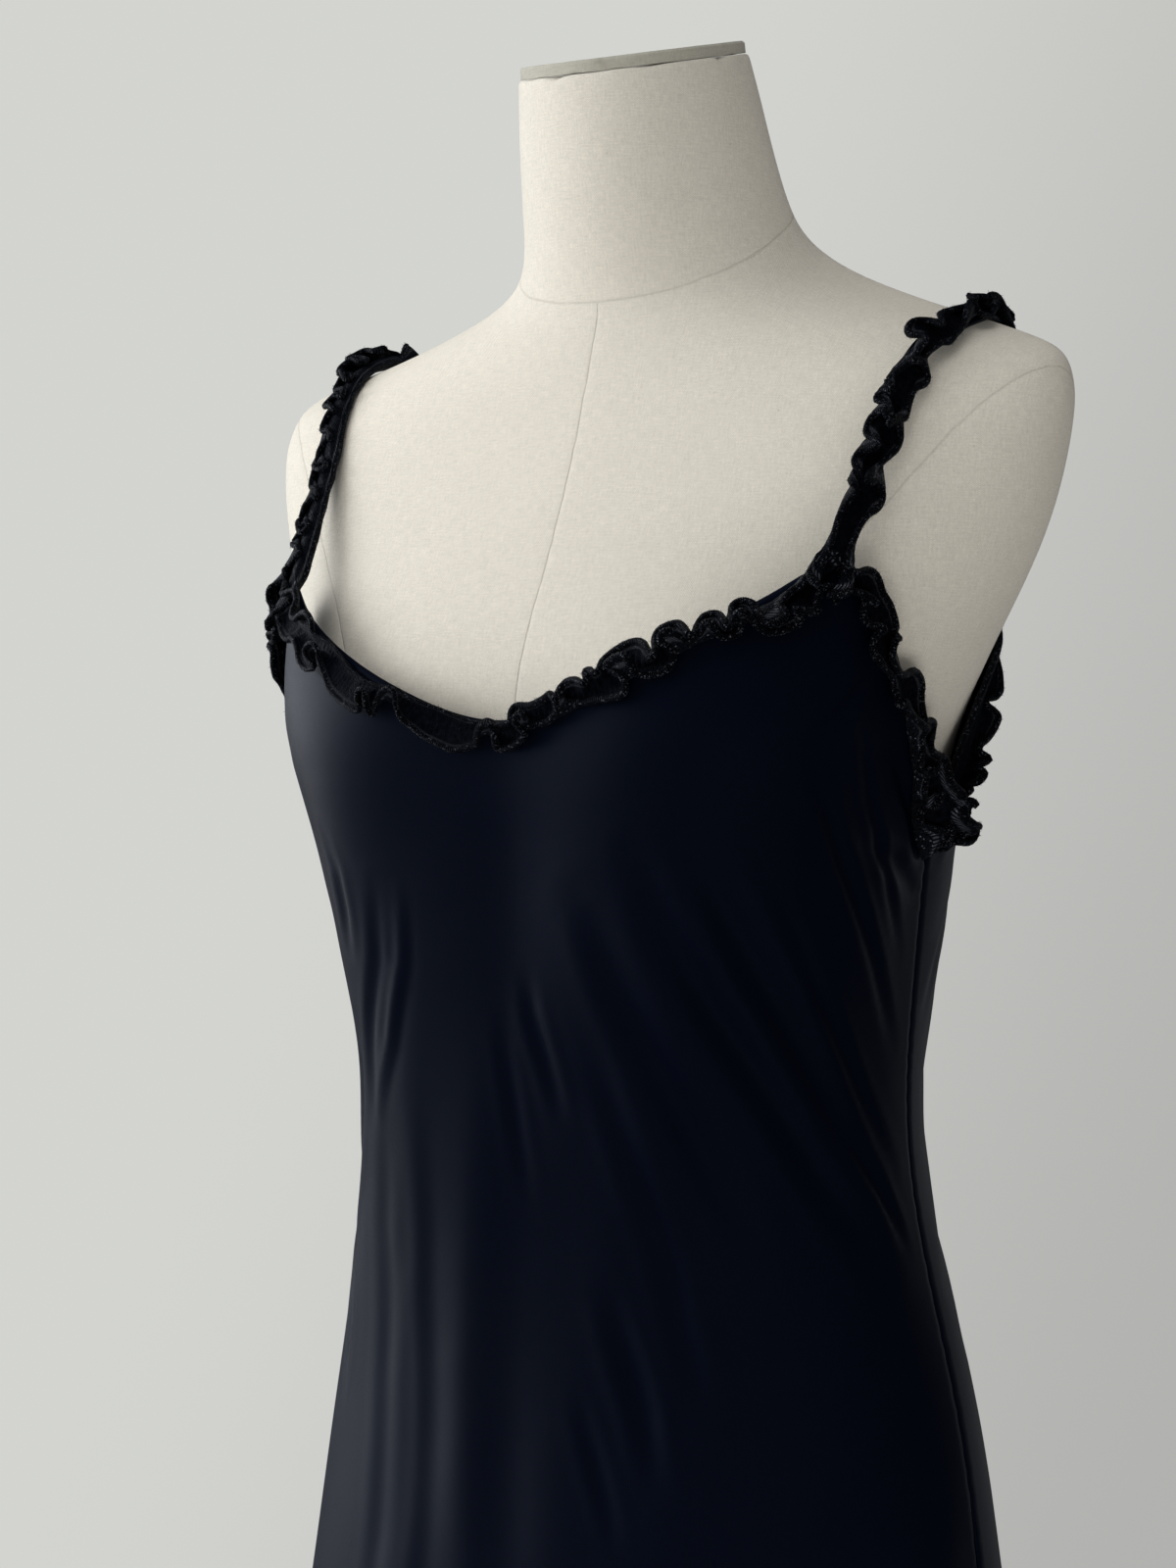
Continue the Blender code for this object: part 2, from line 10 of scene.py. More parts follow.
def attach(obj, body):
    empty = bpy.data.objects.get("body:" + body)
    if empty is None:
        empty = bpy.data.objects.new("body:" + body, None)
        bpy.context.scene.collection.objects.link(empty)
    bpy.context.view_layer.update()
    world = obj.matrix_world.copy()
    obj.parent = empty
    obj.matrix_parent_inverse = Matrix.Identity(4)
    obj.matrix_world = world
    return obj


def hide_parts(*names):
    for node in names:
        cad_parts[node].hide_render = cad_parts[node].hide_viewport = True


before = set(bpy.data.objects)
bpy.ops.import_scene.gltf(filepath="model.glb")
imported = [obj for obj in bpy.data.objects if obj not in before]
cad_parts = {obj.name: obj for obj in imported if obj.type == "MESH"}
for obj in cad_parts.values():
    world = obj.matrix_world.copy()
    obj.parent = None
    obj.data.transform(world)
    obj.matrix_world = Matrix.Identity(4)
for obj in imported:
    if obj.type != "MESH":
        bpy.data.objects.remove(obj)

bpy.ops.object.select_all(action="DESELECT")
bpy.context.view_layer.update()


# ---- Round base ----------------------------------------------------------------
# A heavy pressed-steel disc with a flared hub in its middle that holds the pole.
# It is powder coated satin black, with the fine orange-peel of sprayed paint, and is
# rubbed a little lighter in places.
BASE_RINGS = [  # radius and height in metres, from the floor up to the hub's mouth
    (0.2, 0.0), (0.2, 0.0078), (0.1995, 0.0099), (0.1982, 0.0114), (0.196, 0.012),
    (0.120, 0.0134), (0.072, 0.0146), (0.054, 0.0158), (0.0455, 0.0186), (0.0398, 0.0226),
    (0.0365, 0.0276), (0.0340, 0.0370), (0.0318, 0.0470), (0.0302, 0.0555),
    (0.0296, 0.0590), (0.0281, 0.0609), (0.0262, 0.0618), (0.0240, 0.062),
]


def node(tree, kind, inputs=None, **settings):
    """One shader node with its settings; an input is a plain value or another socket."""
    made = tree.nodes.new(kind)
    for key, value in settings.items():
        setattr(made, key, value)
    for key, value in (inputs or {}).items():
        if isinstance(value, bpy.types.NodeSocket):
            tree.links.new(value, made.inputs[key])
        else:
            made.inputs[key].default_value = value
    return made


def sums(tree, operation, *values):
    """A Math node's result from one to three numbers or sockets."""
    return node(tree, "ShaderNodeMath", dict(enumerate(values)), operation=operation).outputs[0]


def times(tree, first, second, plus=None):
    """A product, with a third value added to it if one is given."""
    if plus is None:
        return sums(tree, "MULTIPLY", first, second)
    return sums(tree, "MULTIPLY_ADD", first, second, plus)


def ramp(tree, value, low, high):
    """A mask that climbs softly from 0 at low to 1 at high."""
    return node(tree, "ShaderNodeMapRange", {"Value": value, "From Min": low, "From Max": high},
                interpolation_type="SMOOTHSTEP").outputs[0]


def noise(tree, place, scale, detail, roughness=0.5):
    """A cloudy pattern of numbers between 0 and 1."""
    return node(tree, "ShaderNodeTexNoise", {"Vector": place, "Scale": scale, "Detail": detail,
                                             "Roughness": roughness}).outputs[0]


def blend_colours(tree, share, first, second, mode="MIX"):
    """A Mix node for colours."""
    return node(tree, "ShaderNodeMix", {0: share, 6: first, 7: second}, data_type="RGBA",
                blend_type=mode).outputs[2]


def new_group(name, takes):
    """A shader node group for a surface, with its input and output sockets by name."""
    tree = bpy.data.node_groups.new(name, "ShaderNodeTree")
    for label, kind, value in takes:
        made = tree.interface.new_socket(label, in_out="INPUT", socket_type="NodeSocket" + kind)
        made.default_value = value
    for label, kind in (("Colour", "Color"), ("Roughness", "Float"), ("Height", "Float")):
        tree.interface.new_socket(label, in_out="OUTPUT", socket_type="NodeSocket" + kind)
    start = tree.nodes.new("NodeGroupInput")
    end = tree.nodes.new("NodeGroupOutput")
    return tree, start.outputs, end.inputs


def give(tree, given, colour, roughness, height):
    """Links a group's results to its output sockets."""
    tree.links.new(colour, given["Colour"])
    tree.links.new(roughness, given["Roughness"])
    tree.links.new(height, given["Height"])


def new_material(name, roughness, sheen=0.0, sheen_roughness=0.5, sheen_tint=(1, 1, 1, 1),
                 specular=0.5, specular_tint=(1, 1, 1, 1)):
    """A material with its shader's constant values set; returns it, its tree and shader."""
    made = bpy.data.materials.new(name)
    made.use_nodes = True
    shader = made.node_tree.nodes["Principled BSDF"]
    for key, value in (("Roughness", roughness), ("Specular IOR Level", specular),
                       ("Specular Tint", specular_tint), ("Sheen Weight", sheen),
                       ("Sheen Roughness", sheen_roughness), ("Sheen Tint", sheen_tint)):
        shader.inputs[key].default_value = value
    return made, made.node_tree, shader


def use_group(tree, group, **values):
    """The group placed in a material with this material's own values."""
    named = {key.replace("_", " "): value for key, value in values.items()}
    return node(tree, "ShaderNodeGroup", named, node_tree=group).outputs


def finish_surface(tree, shader, colour, roughness=None, height=None, depth=0.001, strength=1.0):
    """Links a surface's colour, roughness and relief to its shader."""
    tree.links.new(colour, shader.inputs["Base Color"])
    if roughness is not None:
        tree.links.new(roughness, shader.inputs["Roughness"])
    if height is not None:
        bump = node(tree, "ShaderNodeBump", {"Height": height, "Distance": depth, "Strength": strength})
        tree.links.new(bump.outputs[0], shader.inputs["Normal"])


SPRAYED, taken, given = new_group("sprayed black paint", [
    ("Place", "Vector", (0, 0, 0)), ("Colour", "Color", (0.02, 0.02, 0.022, 1)),
    ("Rubbed Colour", "Color", (0.06, 0.06, 0.062, 1)), ("Roughness", "Float", 0.42),
    ("Peel Scale", "Float", 900.0), ("Dust", "Float", 0.25),
])
peel = noise(SPRAYED, taken["Place"], taken["Peel Scale"], 2.0)
clouds = noise(SPRAYED, taken["Place"], 22.0, 4.0)
rubs = noise(SPRAYED, taken["Place"], 140.0, 6.0, 0.7)
rubbed = times(SPRAYED, ramp(SPRAYED, rubs, 0.62, 0.74), taken["Dust"])
least_rough = sums(SPRAYED, "SUBTRACT", taken["Roughness"], 0.08)
give(SPRAYED, given, blend_colours(SPRAYED, rubbed, taken["Colour"], taken["Rubbed Colour"]),
     times(SPRAYED, clouds, 0.16, least_rough), peel)


def turned(name, rings, sides):
    """A turned piece: a round face raised and resized from ring to ring."""
    radius, height = rings[0]
    bpy.ops.object.select_all(action="DESELECT")
    bpy.ops.mesh.primitive_circle_add(
        vertices=sides, radius=radius, fill_type="NGON", location=(0, 0, height))
    made = bpy.context.object
    made.name = name
    bpy.ops.object.transform_apply(location=True, rotation=True, scale=True)
    bpy.ops.object.mode_set(mode="EDIT")
    bpy.ops.mesh.select_all(action="SELECT")
    for (old_radius, old_height), (radius, height) in zip(rings, rings[1:]):
        bpy.ops.mesh.extrude_region_move(
            TRANSFORM_OT_translate={"value": (0, 0, height - old_height)})
        share = radius / old_radius
        bpy.ops.transform.resize(value=(share, share, 1), center_override=(0, 0, height))
    bpy.ops.mesh.select_all(action="SELECT")
    bpy.ops.mesh.normals_make_consistent(inside=False)
    bpy.ops.object.mode_set(mode="OBJECT")
    bpy.ops.object.shade_smooth_by_angle(angle=math.radians(32))
    return made


base = turned("round_base", BASE_RINGS, 160)
base_paint, tree, shader = new_material("powder coat", 0.45)
place = node(tree, "ShaderNodeTexCoord").outputs["Object"]
coat = use_group(tree, SPRAYED, Place=place, Roughness=0.46, Peel_Scale=700.0, Dust=0.5)
finish_surface(tree, shader, coat["Colour"], coat["Roughness"], coat["Height"], 0.0004, 0.5)
base.data.materials.append(base_paint)
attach(base, "root")
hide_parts("stand_base")


# ---- Pole ----------------------------------------------------------------------
# A straight steel tube, 30 mm across, lacquered satin black. It stands in the hub
# and goes up into a socket in the form's underside; both ends are broken smooth.
POLE_RINGS = [
    (0.0142, 0.0623), (0.0150, 0.0631), (0.0150, 0.0740), (0.0150, 0.2000), (0.0150, 0.4000),
    (0.0150, 0.6000), (0.0150, 0.7339), (0.0142, 0.7347),
]
pole = turned("steel_pole", POLE_RINGS, 72)
lacquer, tree, shader = new_material("satin lacquer", 0.32)
place = node(tree, "ShaderNodeTexCoord").outputs["Object"]
drawn = node(tree, "ShaderNodeMapping", {"Vector": place, "Scale": (1, 1, 0.04)}).outputs[0]
coat = use_group(tree, SPRAYED, Place=drawn, Colour=(0.018, 0.018, 0.02, 1), Roughness=0.34,
                 Peel_Scale=420.0, Dust=0.35)
finish_surface(tree, shader, coat["Colour"], coat["Roughness"], coat["Height"], 0.0002, 0.35)
pole.data.materials.append(lacquer)
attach(pole, "root")
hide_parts("stand_pole")


# ---- Linen-covered body --------------------------------------------------------
# A firm body from hips to neck, covered with off-white linen that is cut in panels
# and pulled smooth. Fine seams run down its middle, round the neck's foot and round
# each arm end, and the cloth's weave shows as faint uneven threads.
NECK_FOOT = (-0.528, 0.849, 1.2041)       # y and z shares and reach of the neck seam's plane
ARM_SEAM = (0.85, -0.385, -0.359, -0.3281)  # x, y, z shares and reach of the arm seam's plane
SEAM_HALF = 0.00038                       # half of a seam line's width
SEAM_DIP = 0.0028                         # how far the cloth dips beside a seam


def choose(made):
    """Selects one object alone and makes it the active one."""
    bpy.ops.object.select_all(action="DESELECT")
    made.select_set(True)
    bpy.context.view_layer.objects.active = made


def joined_copy(name, source):
    """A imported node's shape as an object of its own, its loose triangles joined to quads."""
    made = bpy.data.objects.new(name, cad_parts[source].data.copy())
    bpy.context.collection.objects.link(made)
    made.data.materials.clear()
    choose(made)
    bpy.ops.mesh.customdata_custom_splitnormals_clear()
    bpy.ops.object.mode_set(mode="EDIT")
    bpy.ops.mesh.select_all(action="SELECT")
    bpy.ops.mesh.remove_doubles(threshold=0.00002)
    bpy.ops.mesh.tris_convert_to_quads(face_threshold=1.2, shape_threshold=1.6)
    bpy.ops.mesh.select_all(action="DESELECT")
    bpy.ops.object.mode_set(mode="OBJECT")
    return made


def crease_corners(angle, crease):
    """Marks the active piece's sharp corners, so that they keep their line when refined."""
    bpy.ops.object.mode_set(mode="EDIT")
    bpy.ops.mesh.select_mode(type="EDGE")
    bpy.ops.mesh.select_all(action="DESELECT")
    bpy.ops.mesh.edges_select_sharp(sharpness=math.radians(angle))
    bpy.ops.transform.edge_crease(value=crease)
    bpy.ops.mesh.select_mode(type="VERT")
    bpy.ops.mesh.select_all(action="DESELECT")
    bpy.ops.object.mode_set(mode="OBJECT")


def refine(made, levels):
    """Refines the active piece with subdivision and applies it."""
    finer = made.modifiers.new("finer", "SUBSURF")
    finer.levels = finer.render_levels = levels
    finer.boundary_smooth = "PRESERVE_CORNERS"
    bpy.ops.object.modifier_apply(modifier=finer.name)
    for face in made.data.polygons:
        face.use_smooth = True


def lay_threads(made):
    """A UV map in metres that keeps a weave to scale whichever way the cloth faces."""
    mesh = made.data
    for old in list(mesh.uv_layers):
        mesh.uv_layers.remove(old)
    threads = mesh.uv_layers.new(name="threads")
    flat = np.zeros(len(mesh.loops) * 2)
    for face in mesh.polygons:
        away = [abs(v) for v in face.normal]
        first, second = (0, 2) if away[1] >= max(away[0], away[2]) else (
            (1, 2) if away[0] >= away[2] else (0, 1))
        for loop in face.loop_indices:
            spot = mesh.vertices[mesh.loops[loop].vertex_index].co
            flat[2 * loop], flat[2 * loop + 1] = spot[first], spot[second]
    threads.data.foreach_set("uv", flat)


def scattered(tree, place, scale, size, kept_from):
    """A mask of small dots: their size in cells, and how high a cell's draw must be."""
    cells = node(tree, "ShaderNodeTexVoronoi", {"Vector": place, "Scale": scale}).outputs
    draw = node(tree, "ShaderNodeSeparateColor", {0: cells["Color"]}).outputs[0]
    return times(tree, sums(tree, "LESS_THAN", cells["Distance"], size),
                 sums(tree, "GREATER_THAN", draw, kept_from))


def shaded(tree, colour, shade):
    """A colour made darker or lighter by a number."""
    grey = node(tree, "ShaderNodeCombineColor", {0: shade, 1: shade, 2: shade}).outputs[0]
    return blend_colours(tree, 1.0, colour, grey, "MULTIPLY")


WEAVE, taken, given = new_group("plain woven linen", [
    ("Threads", "Vector", (0, 0, 0)), ("Place", "Vector", (0, 0, 0)),
    ("Colour", "Color", (0.765, 0.740, 0.678, 1)), ("Thread Pitch", "Float", 0.00092),
    ("Slubs", "Float", 0.6), ("Specks", "Float", 0.25),
])
wander = sums(WEAVE, "SUBTRACT", noise(WEAVE, taken["Place"], 60.0, 2.0), 0.5)
drift = times(WEAVE, wander, 5.0)
apart = node(WEAVE, "ShaderNodeSeparateXYZ", {"Vector": taken["Threads"]}).outputs
turns = sums(WEAVE, "DIVIDE", 2 * math.pi, taken["Thread Pitch"])
warp = sums(WEAVE, "SINE", times(WEAVE, apart[0], turns, drift))
weft = sums(WEAVE, "SINE", times(WEAVE, apart[1], turns, drift))
over_under = times(WEAVE, warp, weft)
streaks = []
for shares in ((1500.0, 170.0, 1.0), (170.0, 1500.0, 1.0)):
    pulled = node(WEAVE, "ShaderNodeMapping", {"Vector": taken["Threads"], "Scale": shares}).outputs[0]
    streaks.append(noise(WEAVE, pulled, 1.0, 3.0))
slub = sums(WEAVE, "SUBTRACT", sums(WEAVE, "ADD", *streaks), 1.0)
grain = noise(WEAVE, taken["Place"], 1300.0, 2.0)
mottle = noise(WEAVE, taken["Place"], 14.0, 5.0, 0.6)
shade = times(WEAVE, slub, times(WEAVE, taken["Slubs"], 0.42),
              times(WEAVE, over_under, 0.07, times(WEAVE, grain, 0.30, 0.83)))
shade = times(WEAVE, shade, times(WEAVE, mottle, 0.11, 0.945))
specks = times(WEAVE, scattered(WEAVE, taken["Place"], 75.0, 0.045, 0.86), taken["Specks"])
give(WEAVE, given, blend_colours(WEAVE, specks, shaded(WEAVE, taken["Colour"], shade),
                                 (0.30, 0.25, 0.19, 1)),
     times(WEAVE, over_under, -0.05, 0.86), times(WEAVE, slub, 1.2, over_under))

body = joined_copy("linen_body", "form_torso")
crease_corners(50, 0.35)
refine(body, 2)
lay_threads(body)

linen, tree, shader = new_material("off-white linen", 0.86, sheen=0.12, sheen_roughness=0.4)
coords = node(tree, "ShaderNodeTexCoord").outputs
weave = use_group(tree, WEAVE, Threads=coords["UV"], Place=coords["Object"])
spot = node(tree, "ShaderNodeSeparateXYZ", {"Vector": coords["Object"]}).outputs
tremble = sums(tree, "SUBTRACT", noise(tree, coords["Object"], 55.0, 2.0), 0.5)
aside = times(tree, tremble, 0.0016)
neck_reach = sums(tree, "SUBTRACT", times(
    tree, spot[1], NECK_FOOT[0], times(tree, spot[2], NECK_FOOT[1])), NECK_FOOT[2])
arm_reach = sums(tree, "SUBTRACT", times(
    tree, sums(tree, "ABSOLUTE", spot[0]), ARM_SEAM[0], times(
        tree, spot[1], ARM_SEAM[1], times(tree, spot[2], ARM_SEAM[2]))), ARM_SEAM[3])
below_neck = sums(tree, "LESS_THAN", neck_reach, 0.0)
line, dip = 0.0, 0.0
for reach, where in ((spot[0], below_neck), (neck_reach, 1.0), (arm_reach, 1.0)):
    off = sums(tree, "ABSOLUTE", sums(tree, "ADD", reach, aside))
    near = sums(tree, "SUBTRACT", 1.0, ramp(tree, off, SEAM_HALF * 0.4, SEAM_HALF * 1.6))
    by = sums(tree, "SUBTRACT", 1.0, ramp(tree, off, 0.0, SEAM_DIP))
    line = sums(tree, "MAXIMUM", line, times(tree, near, where))
    dip = sums(tree, "MAXIMUM", dip, times(tree, by, where))
sewn = blend_colours(tree, times(tree, line, 0.18), weave["Colour"], (0.24, 0.21, 0.17, 1))
relief = sums(tree, "SUBTRACT", times(tree, weave["Height"], 0.08),
              times(tree, dip, 0.22, times(tree, line, 0.3)))
finish_surface(tree, shader, sewn, weave["Roughness"], relief, 0.0008, 0.9)
body.data.materials.append(linen)
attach(body, "root")
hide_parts("form_torso")


# ---- Neck disc -----------------------------------------------------------------
# A thin wooden disc, wrapped in the same linen, closes the slanted top of the neck.
# It is glued on, so a fine uneven joint shows under its rim, and its corners are
# rounded by the cloth.
DISC_SLOPE = 0.24       # rise of the disc for each metre towards the back
DISC_JOINT = 1.5035     # height of its glued joint at the middle
disc = joined_copy("neck_disc", "form_neck_cap")
crease_corners(40, 0.55)
refine(disc, 3)
for vertex in disc.data.vertices:
    turn = math.atan2(vertex.co.y, vertex.co.x)
    level = vertex.co.z - DISC_SLOPE * vertex.co.y - DISC_JOINT
    rough = 0.00022 * math.sin(7 * turn + 1.0) + 0.00016 * math.sin(13 * turn + 2.2)
    near_joint = max(0.0, 1 - abs(level) / 0.003)
    out = Vector((vertex.co.x, vertex.co.y, 0)).normalized()
    vertex.co += out * rough * (0.5 + near_joint)
lay_threads(disc)
disc_linen, tree, shader = new_material("glued linen", 0.88, sheen=0.1)
coords = node(tree, "ShaderNodeTexCoord").outputs
weave = use_group(tree, WEAVE, Threads=coords["UV"], Place=coords["Object"],
                  Colour=(0.48, 0.475, 0.425, 1), Slubs=0.8)
grime = ramp(tree, noise(tree, coords["Object"], 90.0, 4.0), 0.52, 0.72)
worn = blend_colours(tree, grime, weave["Colour"], (0.385, 0.372, 0.33, 1))
finish_surface(tree, shader, worn, weave["Roughness"], weave["Height"], 0.00008, 0.9)
disc.data.materials.append(disc_linen)
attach(disc, "root")
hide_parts("form_neck_cap")


# ---- Front and back panels -----------------------------------------------------
# Two panels of fine black jersey, sewn together down both sides from armhole to hem.
# The cloth is drawn over the bust with a dart on each side, hangs in soft folds below
# the hips, and has long shallow drag lines that run to the underarm and the hip.
CLOTH_WALL = 0.9        # millimetres, as the rest of the sizes in this section
SEAM_CLOSED = 1.2       # the panels' side edges are drawn together this near the seam
SEAM_TURN = (1.1, 1.9)  # how deep and how wide the cloth turns in at a side seam
EDGE_TURN = (0.7, 1.6)  # the same at the upper edge
HEM_TURN = (0.8, 2.0)   # the same at the hem
HEM_EDGE = 440          # height of the hem's edge
HEM_LINE = 456.0        # height of the hem's stitching
BODY_MIDDLE = 4         # the body's middle lies this far behind the pole
UNDERARM = 1152.4       # the panels' upper edge is all above this height
OUTWARDS = 0.62         # a wall's outer faces look away from the body at least this much
HEM_STITCHES = 340.0    # stitches in the hem, once round the body
# Each crease: degrees round the body from the wearer's left and height for its points,
# then its width and its depth; a ridge has a depth below nought.
FRONT_CREASES = [
    ([(-54, 1163), (-47, 1133), (-42, 1112), (-37, 1095), (-28, 1063), (-22, 1042), (-15, 1021)],
     7, 3.5),
    ([(-62, 1156), (-57, 1127), (-48, 1092), (-37, 1059), (-24, 1016), (-17, 995), (-13, 976)],
     6.5, 3.5),
    ([(-73, 1138), (-66, 1102), (-57, 1064), (-47, 1025), (-36, 986)], 7, 3.1),
    ([(-87, 1103), (-86, 1086), (-82, 1062), (-79, 1042)], 3.4, 1.8),
    ([(-71, 1071), (-66, 1043), (-58, 1002), (-54, 982), (-49, 962)], 5, 1.7),
    ([(-70, 972), (-64, 940), (-61, 924), (-57, 888)], 5, 2.5),
    ([(-78, 926), (-73, 902), (-70, 887), (-66, 865)], 3.5, 1.3),
    ([(-57, 994), (-53, 963), (-50, 943), (-47, 921)], 5, 1.7),
    ([(-26, 1210), (-22, 1180), (-14, 1144), (-6, 1110)], 2.8, 1.4),
    ([(-35, 1192), (-27, 1156), (-15, 1109), (-6, 1071)], 3.4, 1.8),
    ([(-38, 1137), (-28, 1096), (-15, 1049), (-6, 1019)], 3.4, 1.8),
    ([(-19, 1038), (-12, 1014), (-5, 986)], 2.8, 1.7),
    ([(-98, 1111), (-99, 1077), (-104, 1031), (-111, 975), (-113, 933), (-111, 892), (-108, 854),
      (-106, 760), (-107, 640)], 13, -2.5),
    ([(-121, 1059), (-124, 1016), (-128, 964), (-127, 930), (-124, 866), (-122, 780)], 6, -0.9),
    ([(-130, 1049), (-138, 992), (-138, 927), (-134, 862), (-132, 770)], 6, 1.2),
    ([(-115, 1141), (-117, 1110), (-124, 1075), (-136, 1035)], 3, -1.3),
    ([(-120, 1143), (-123, 1109), (-132, 1070), (-140, 1030)], 3.6, 1.3),
    ([(-132, 1164), (-130, 1147), (-130, 1130), (-132, 1108)], 3, 1.2),
    ([(-158, 990), (-156, 947), (-156, 905)], 4, 1),
    ([(-94, 1086), (-94, 1078), (-92, 1036), (-90, 1005)], 3.4, 1),
    ([(-149, 1200), (-152, 1150), (-152, 1080), (-149, 1010)], 26, 3),
    ([(-24, 1230), (-29, 1216), (-37, 1195)], 4, 1.4),
    ([(-3, 1152), (-8, 1172), (-19, 1200)], 4, 2),
    ([(-3, 1140), (-12, 1152), (-26, 1164)], 4.5, 1.7),
    ([(-156, 1230), (-151, 1216), (-143, 1195)], 4, 1),
    ([(-177, 1152), (-171, 1173), (-158, 1204)], 4, 1.3),
    ([(-176, 1141), (-165, 1158), (-152, 1168)], 4.5, 1.2),
    ([(-148, 1160), (-158, 1115), (-172, 1050)], 4.5, 1.6),
    ([(-142, 1130), (-154, 1070), (-170, 1000)], 6, 2.1),
    ([(-140, 1080), (-152, 1030), (-172, 955)], 6, 1.8),
    ([(-36, 860), (-31, 760), (-34, 640)], 18, 2.6),
    ([(-66, 850), (-60, 760), (-62, 640)], 16, 2.9),
    ([(-14, 880), (-10, 800), (-11, 720)], 16, -2.9),
]
BACK_CREASES = [
    ([(62, 1118), (42, 1070), (22, 1014), (6, 962)], 6.5, 1.7),
    ([(72, 1088), (52, 1040), (28, 982), (12, 938)], 6, 1.5),
    ([(50, 1140), (30, 1096), (8, 1040)], 5.5, 1.5),
    ([(24, 1150), (12, 1112), (4, 1080)], 3.6, 1.0),
    ([(3, 1152), (9, 1174), (21, 1206)], 4, 1.0),
    ([(118, 1112), (139, 1060), (160, 1004), (174, 958)], 6.5, 1.6),
    ([(108, 1084), (128, 1034), (152, 976), (168, 930)], 6, 1.4),
    ([(131, 1138), (150, 1088), (172, 1036)], 5.5, 1.4),
    ([(157, 1152), (168, 1114), (176, 1084)], 3.6, 1.0),
    ([(177, 1152), (171, 1172), (159, 1205)], 4, 1.0),
    ([(72, 1046), (90, 1034), (110, 1043)], 5, 1.2),
    ([(66, 1024), (88, 1010), (116, 1020)], 6, 1.5),
    ([(76, 1001), (94, 990), (108, 998)], 5, 1.0),
    ([(84, 930), (81, 820), (83, 690)], 9, 1.9),
    ([(52, 900), (48, 790), (51, 660)], 12, 1.8),
    ([(66, 870), (64, 780), (66, 690)], 6, -1.2),
    ([(117, 910), (121, 800), (119, 670)], 10, 2.0),
    ([(104, 880), (105, 780), (103, 700)], 6, -1.2),
    ([(146, 880), (150, 780), (148, 690)], 16, -1.6),
    ([(28, 880), (24, 790), (27, 700)], 16, -1.6),
]


def outer_layer(name, source):
    """The outer face of a panel's packed wall, as a sheet without thickness."""
    made = joined_copy(name, source)
    shape = bmesh.new()
    shape.from_mesh(made.data)
    inner = []
    for face in shape.faces:
        centre = face.calc_center_median()
        out = Vector((centre.x, centre.y - BODY_MIDDLE / 1000, 0)).normalized()
        if face.normal.dot(out) < OUTWARDS:
            inner.append(face)
    bmesh.ops.delete(shape, geom=inner, context="FACES")
    shape.to_mesh(made.data)
    shape.free()
    refine(made, 3)
    return made


def places_of(made):
    """All of a piece's vertices as an array, in millimetres."""
    spots = np.zeros(len(made.data.vertices) * 3)
    made.data.vertices.foreach_get("co", spots)
    return spots.reshape(-1, 3) * 1000


def tree_of(spots, made):
    """A search tree over a sheet, in millimetres."""
    return BVHTree.FromPolygons(
        [tuple(p) for p in spots], [tuple(f.vertices) for f in made.data.polygons])


def turn_of(place):
    """Degrees round the body from the wearer's left, towards the back."""
    return math.degrees(math.atan2(place[1] - BODY_MIDDLE, place[0]))


def distance_along(spots, line):
    """Each vertex's distance to a line of points and its share of the way along it."""
    line = np.array(line, dtype=float)
    steps = np.linalg.norm(np.diff(line, axis=0), axis=1)
    ends = np.concatenate([[0], np.cumsum(steps)])
    nearest = np.full(len(spots), 1e9)
    share = np.zeros(len(spots))
    for i, step in enumerate(steps):
        way = (line[i + 1] - line[i]) / step
        t = np.clip((spots - line[i]) @ way, 0, step)
        off = np.linalg.norm(spots - line[i] - t[:, None] * way, axis=1)
        closer = off < nearest
        nearest[closer] = off[closer]
        share[closer] = (ends[i] + t[closer]) / ends[-1]
    return nearest, share


def draw_creases(spots, ways, tree, creases):
    """Moves a sheet's vertices in for each crease and out along its lips."""
    move = np.zeros(len(spots))
    for points, width, depth in creases:
        line = []
        for (a0, z0), (a1, z1) in zip(points, points[1:]):
            for k in range(6):
                angle = math.radians(a0 + (a1 - a0) * k / 6)
                z = z0 + (z1 - z0) * k / 6
                away = Vector((math.cos(angle), math.sin(angle), 0))
                hit = tree.ray_cast(Vector((0, BODY_MIDDLE, z)) + away * 400, -away)[0]
                if hit is not None:
                    line.append(tuple(hit))
        off, share = distance_along(spots, line)
        q = off / width
        form = -np.exp(-q ** 2) + 0.42 * np.exp(-((q - 1.9) / 0.9) ** 2)
        taper = np.sin(np.pi * np.clip(share, 0.02, 0.98)) ** 0.8
        move += form * taper * depth
    return spots + ways * move[:, None]


def upper_line(spots, made):
    """The points along a panel's upper edge, in order round the body, in millimetres."""
    shape = bmesh.new()
    shape.from_mesh(made.data)
    rim = {v.index for e in shape.edges if e.is_boundary for v in e.verts}
    shape.free()
    top = [spots[i] for i in rim if spots[i][2] > UNDERARM]
    return sorted(top, key=lambda p: abs(turn_of(p)))


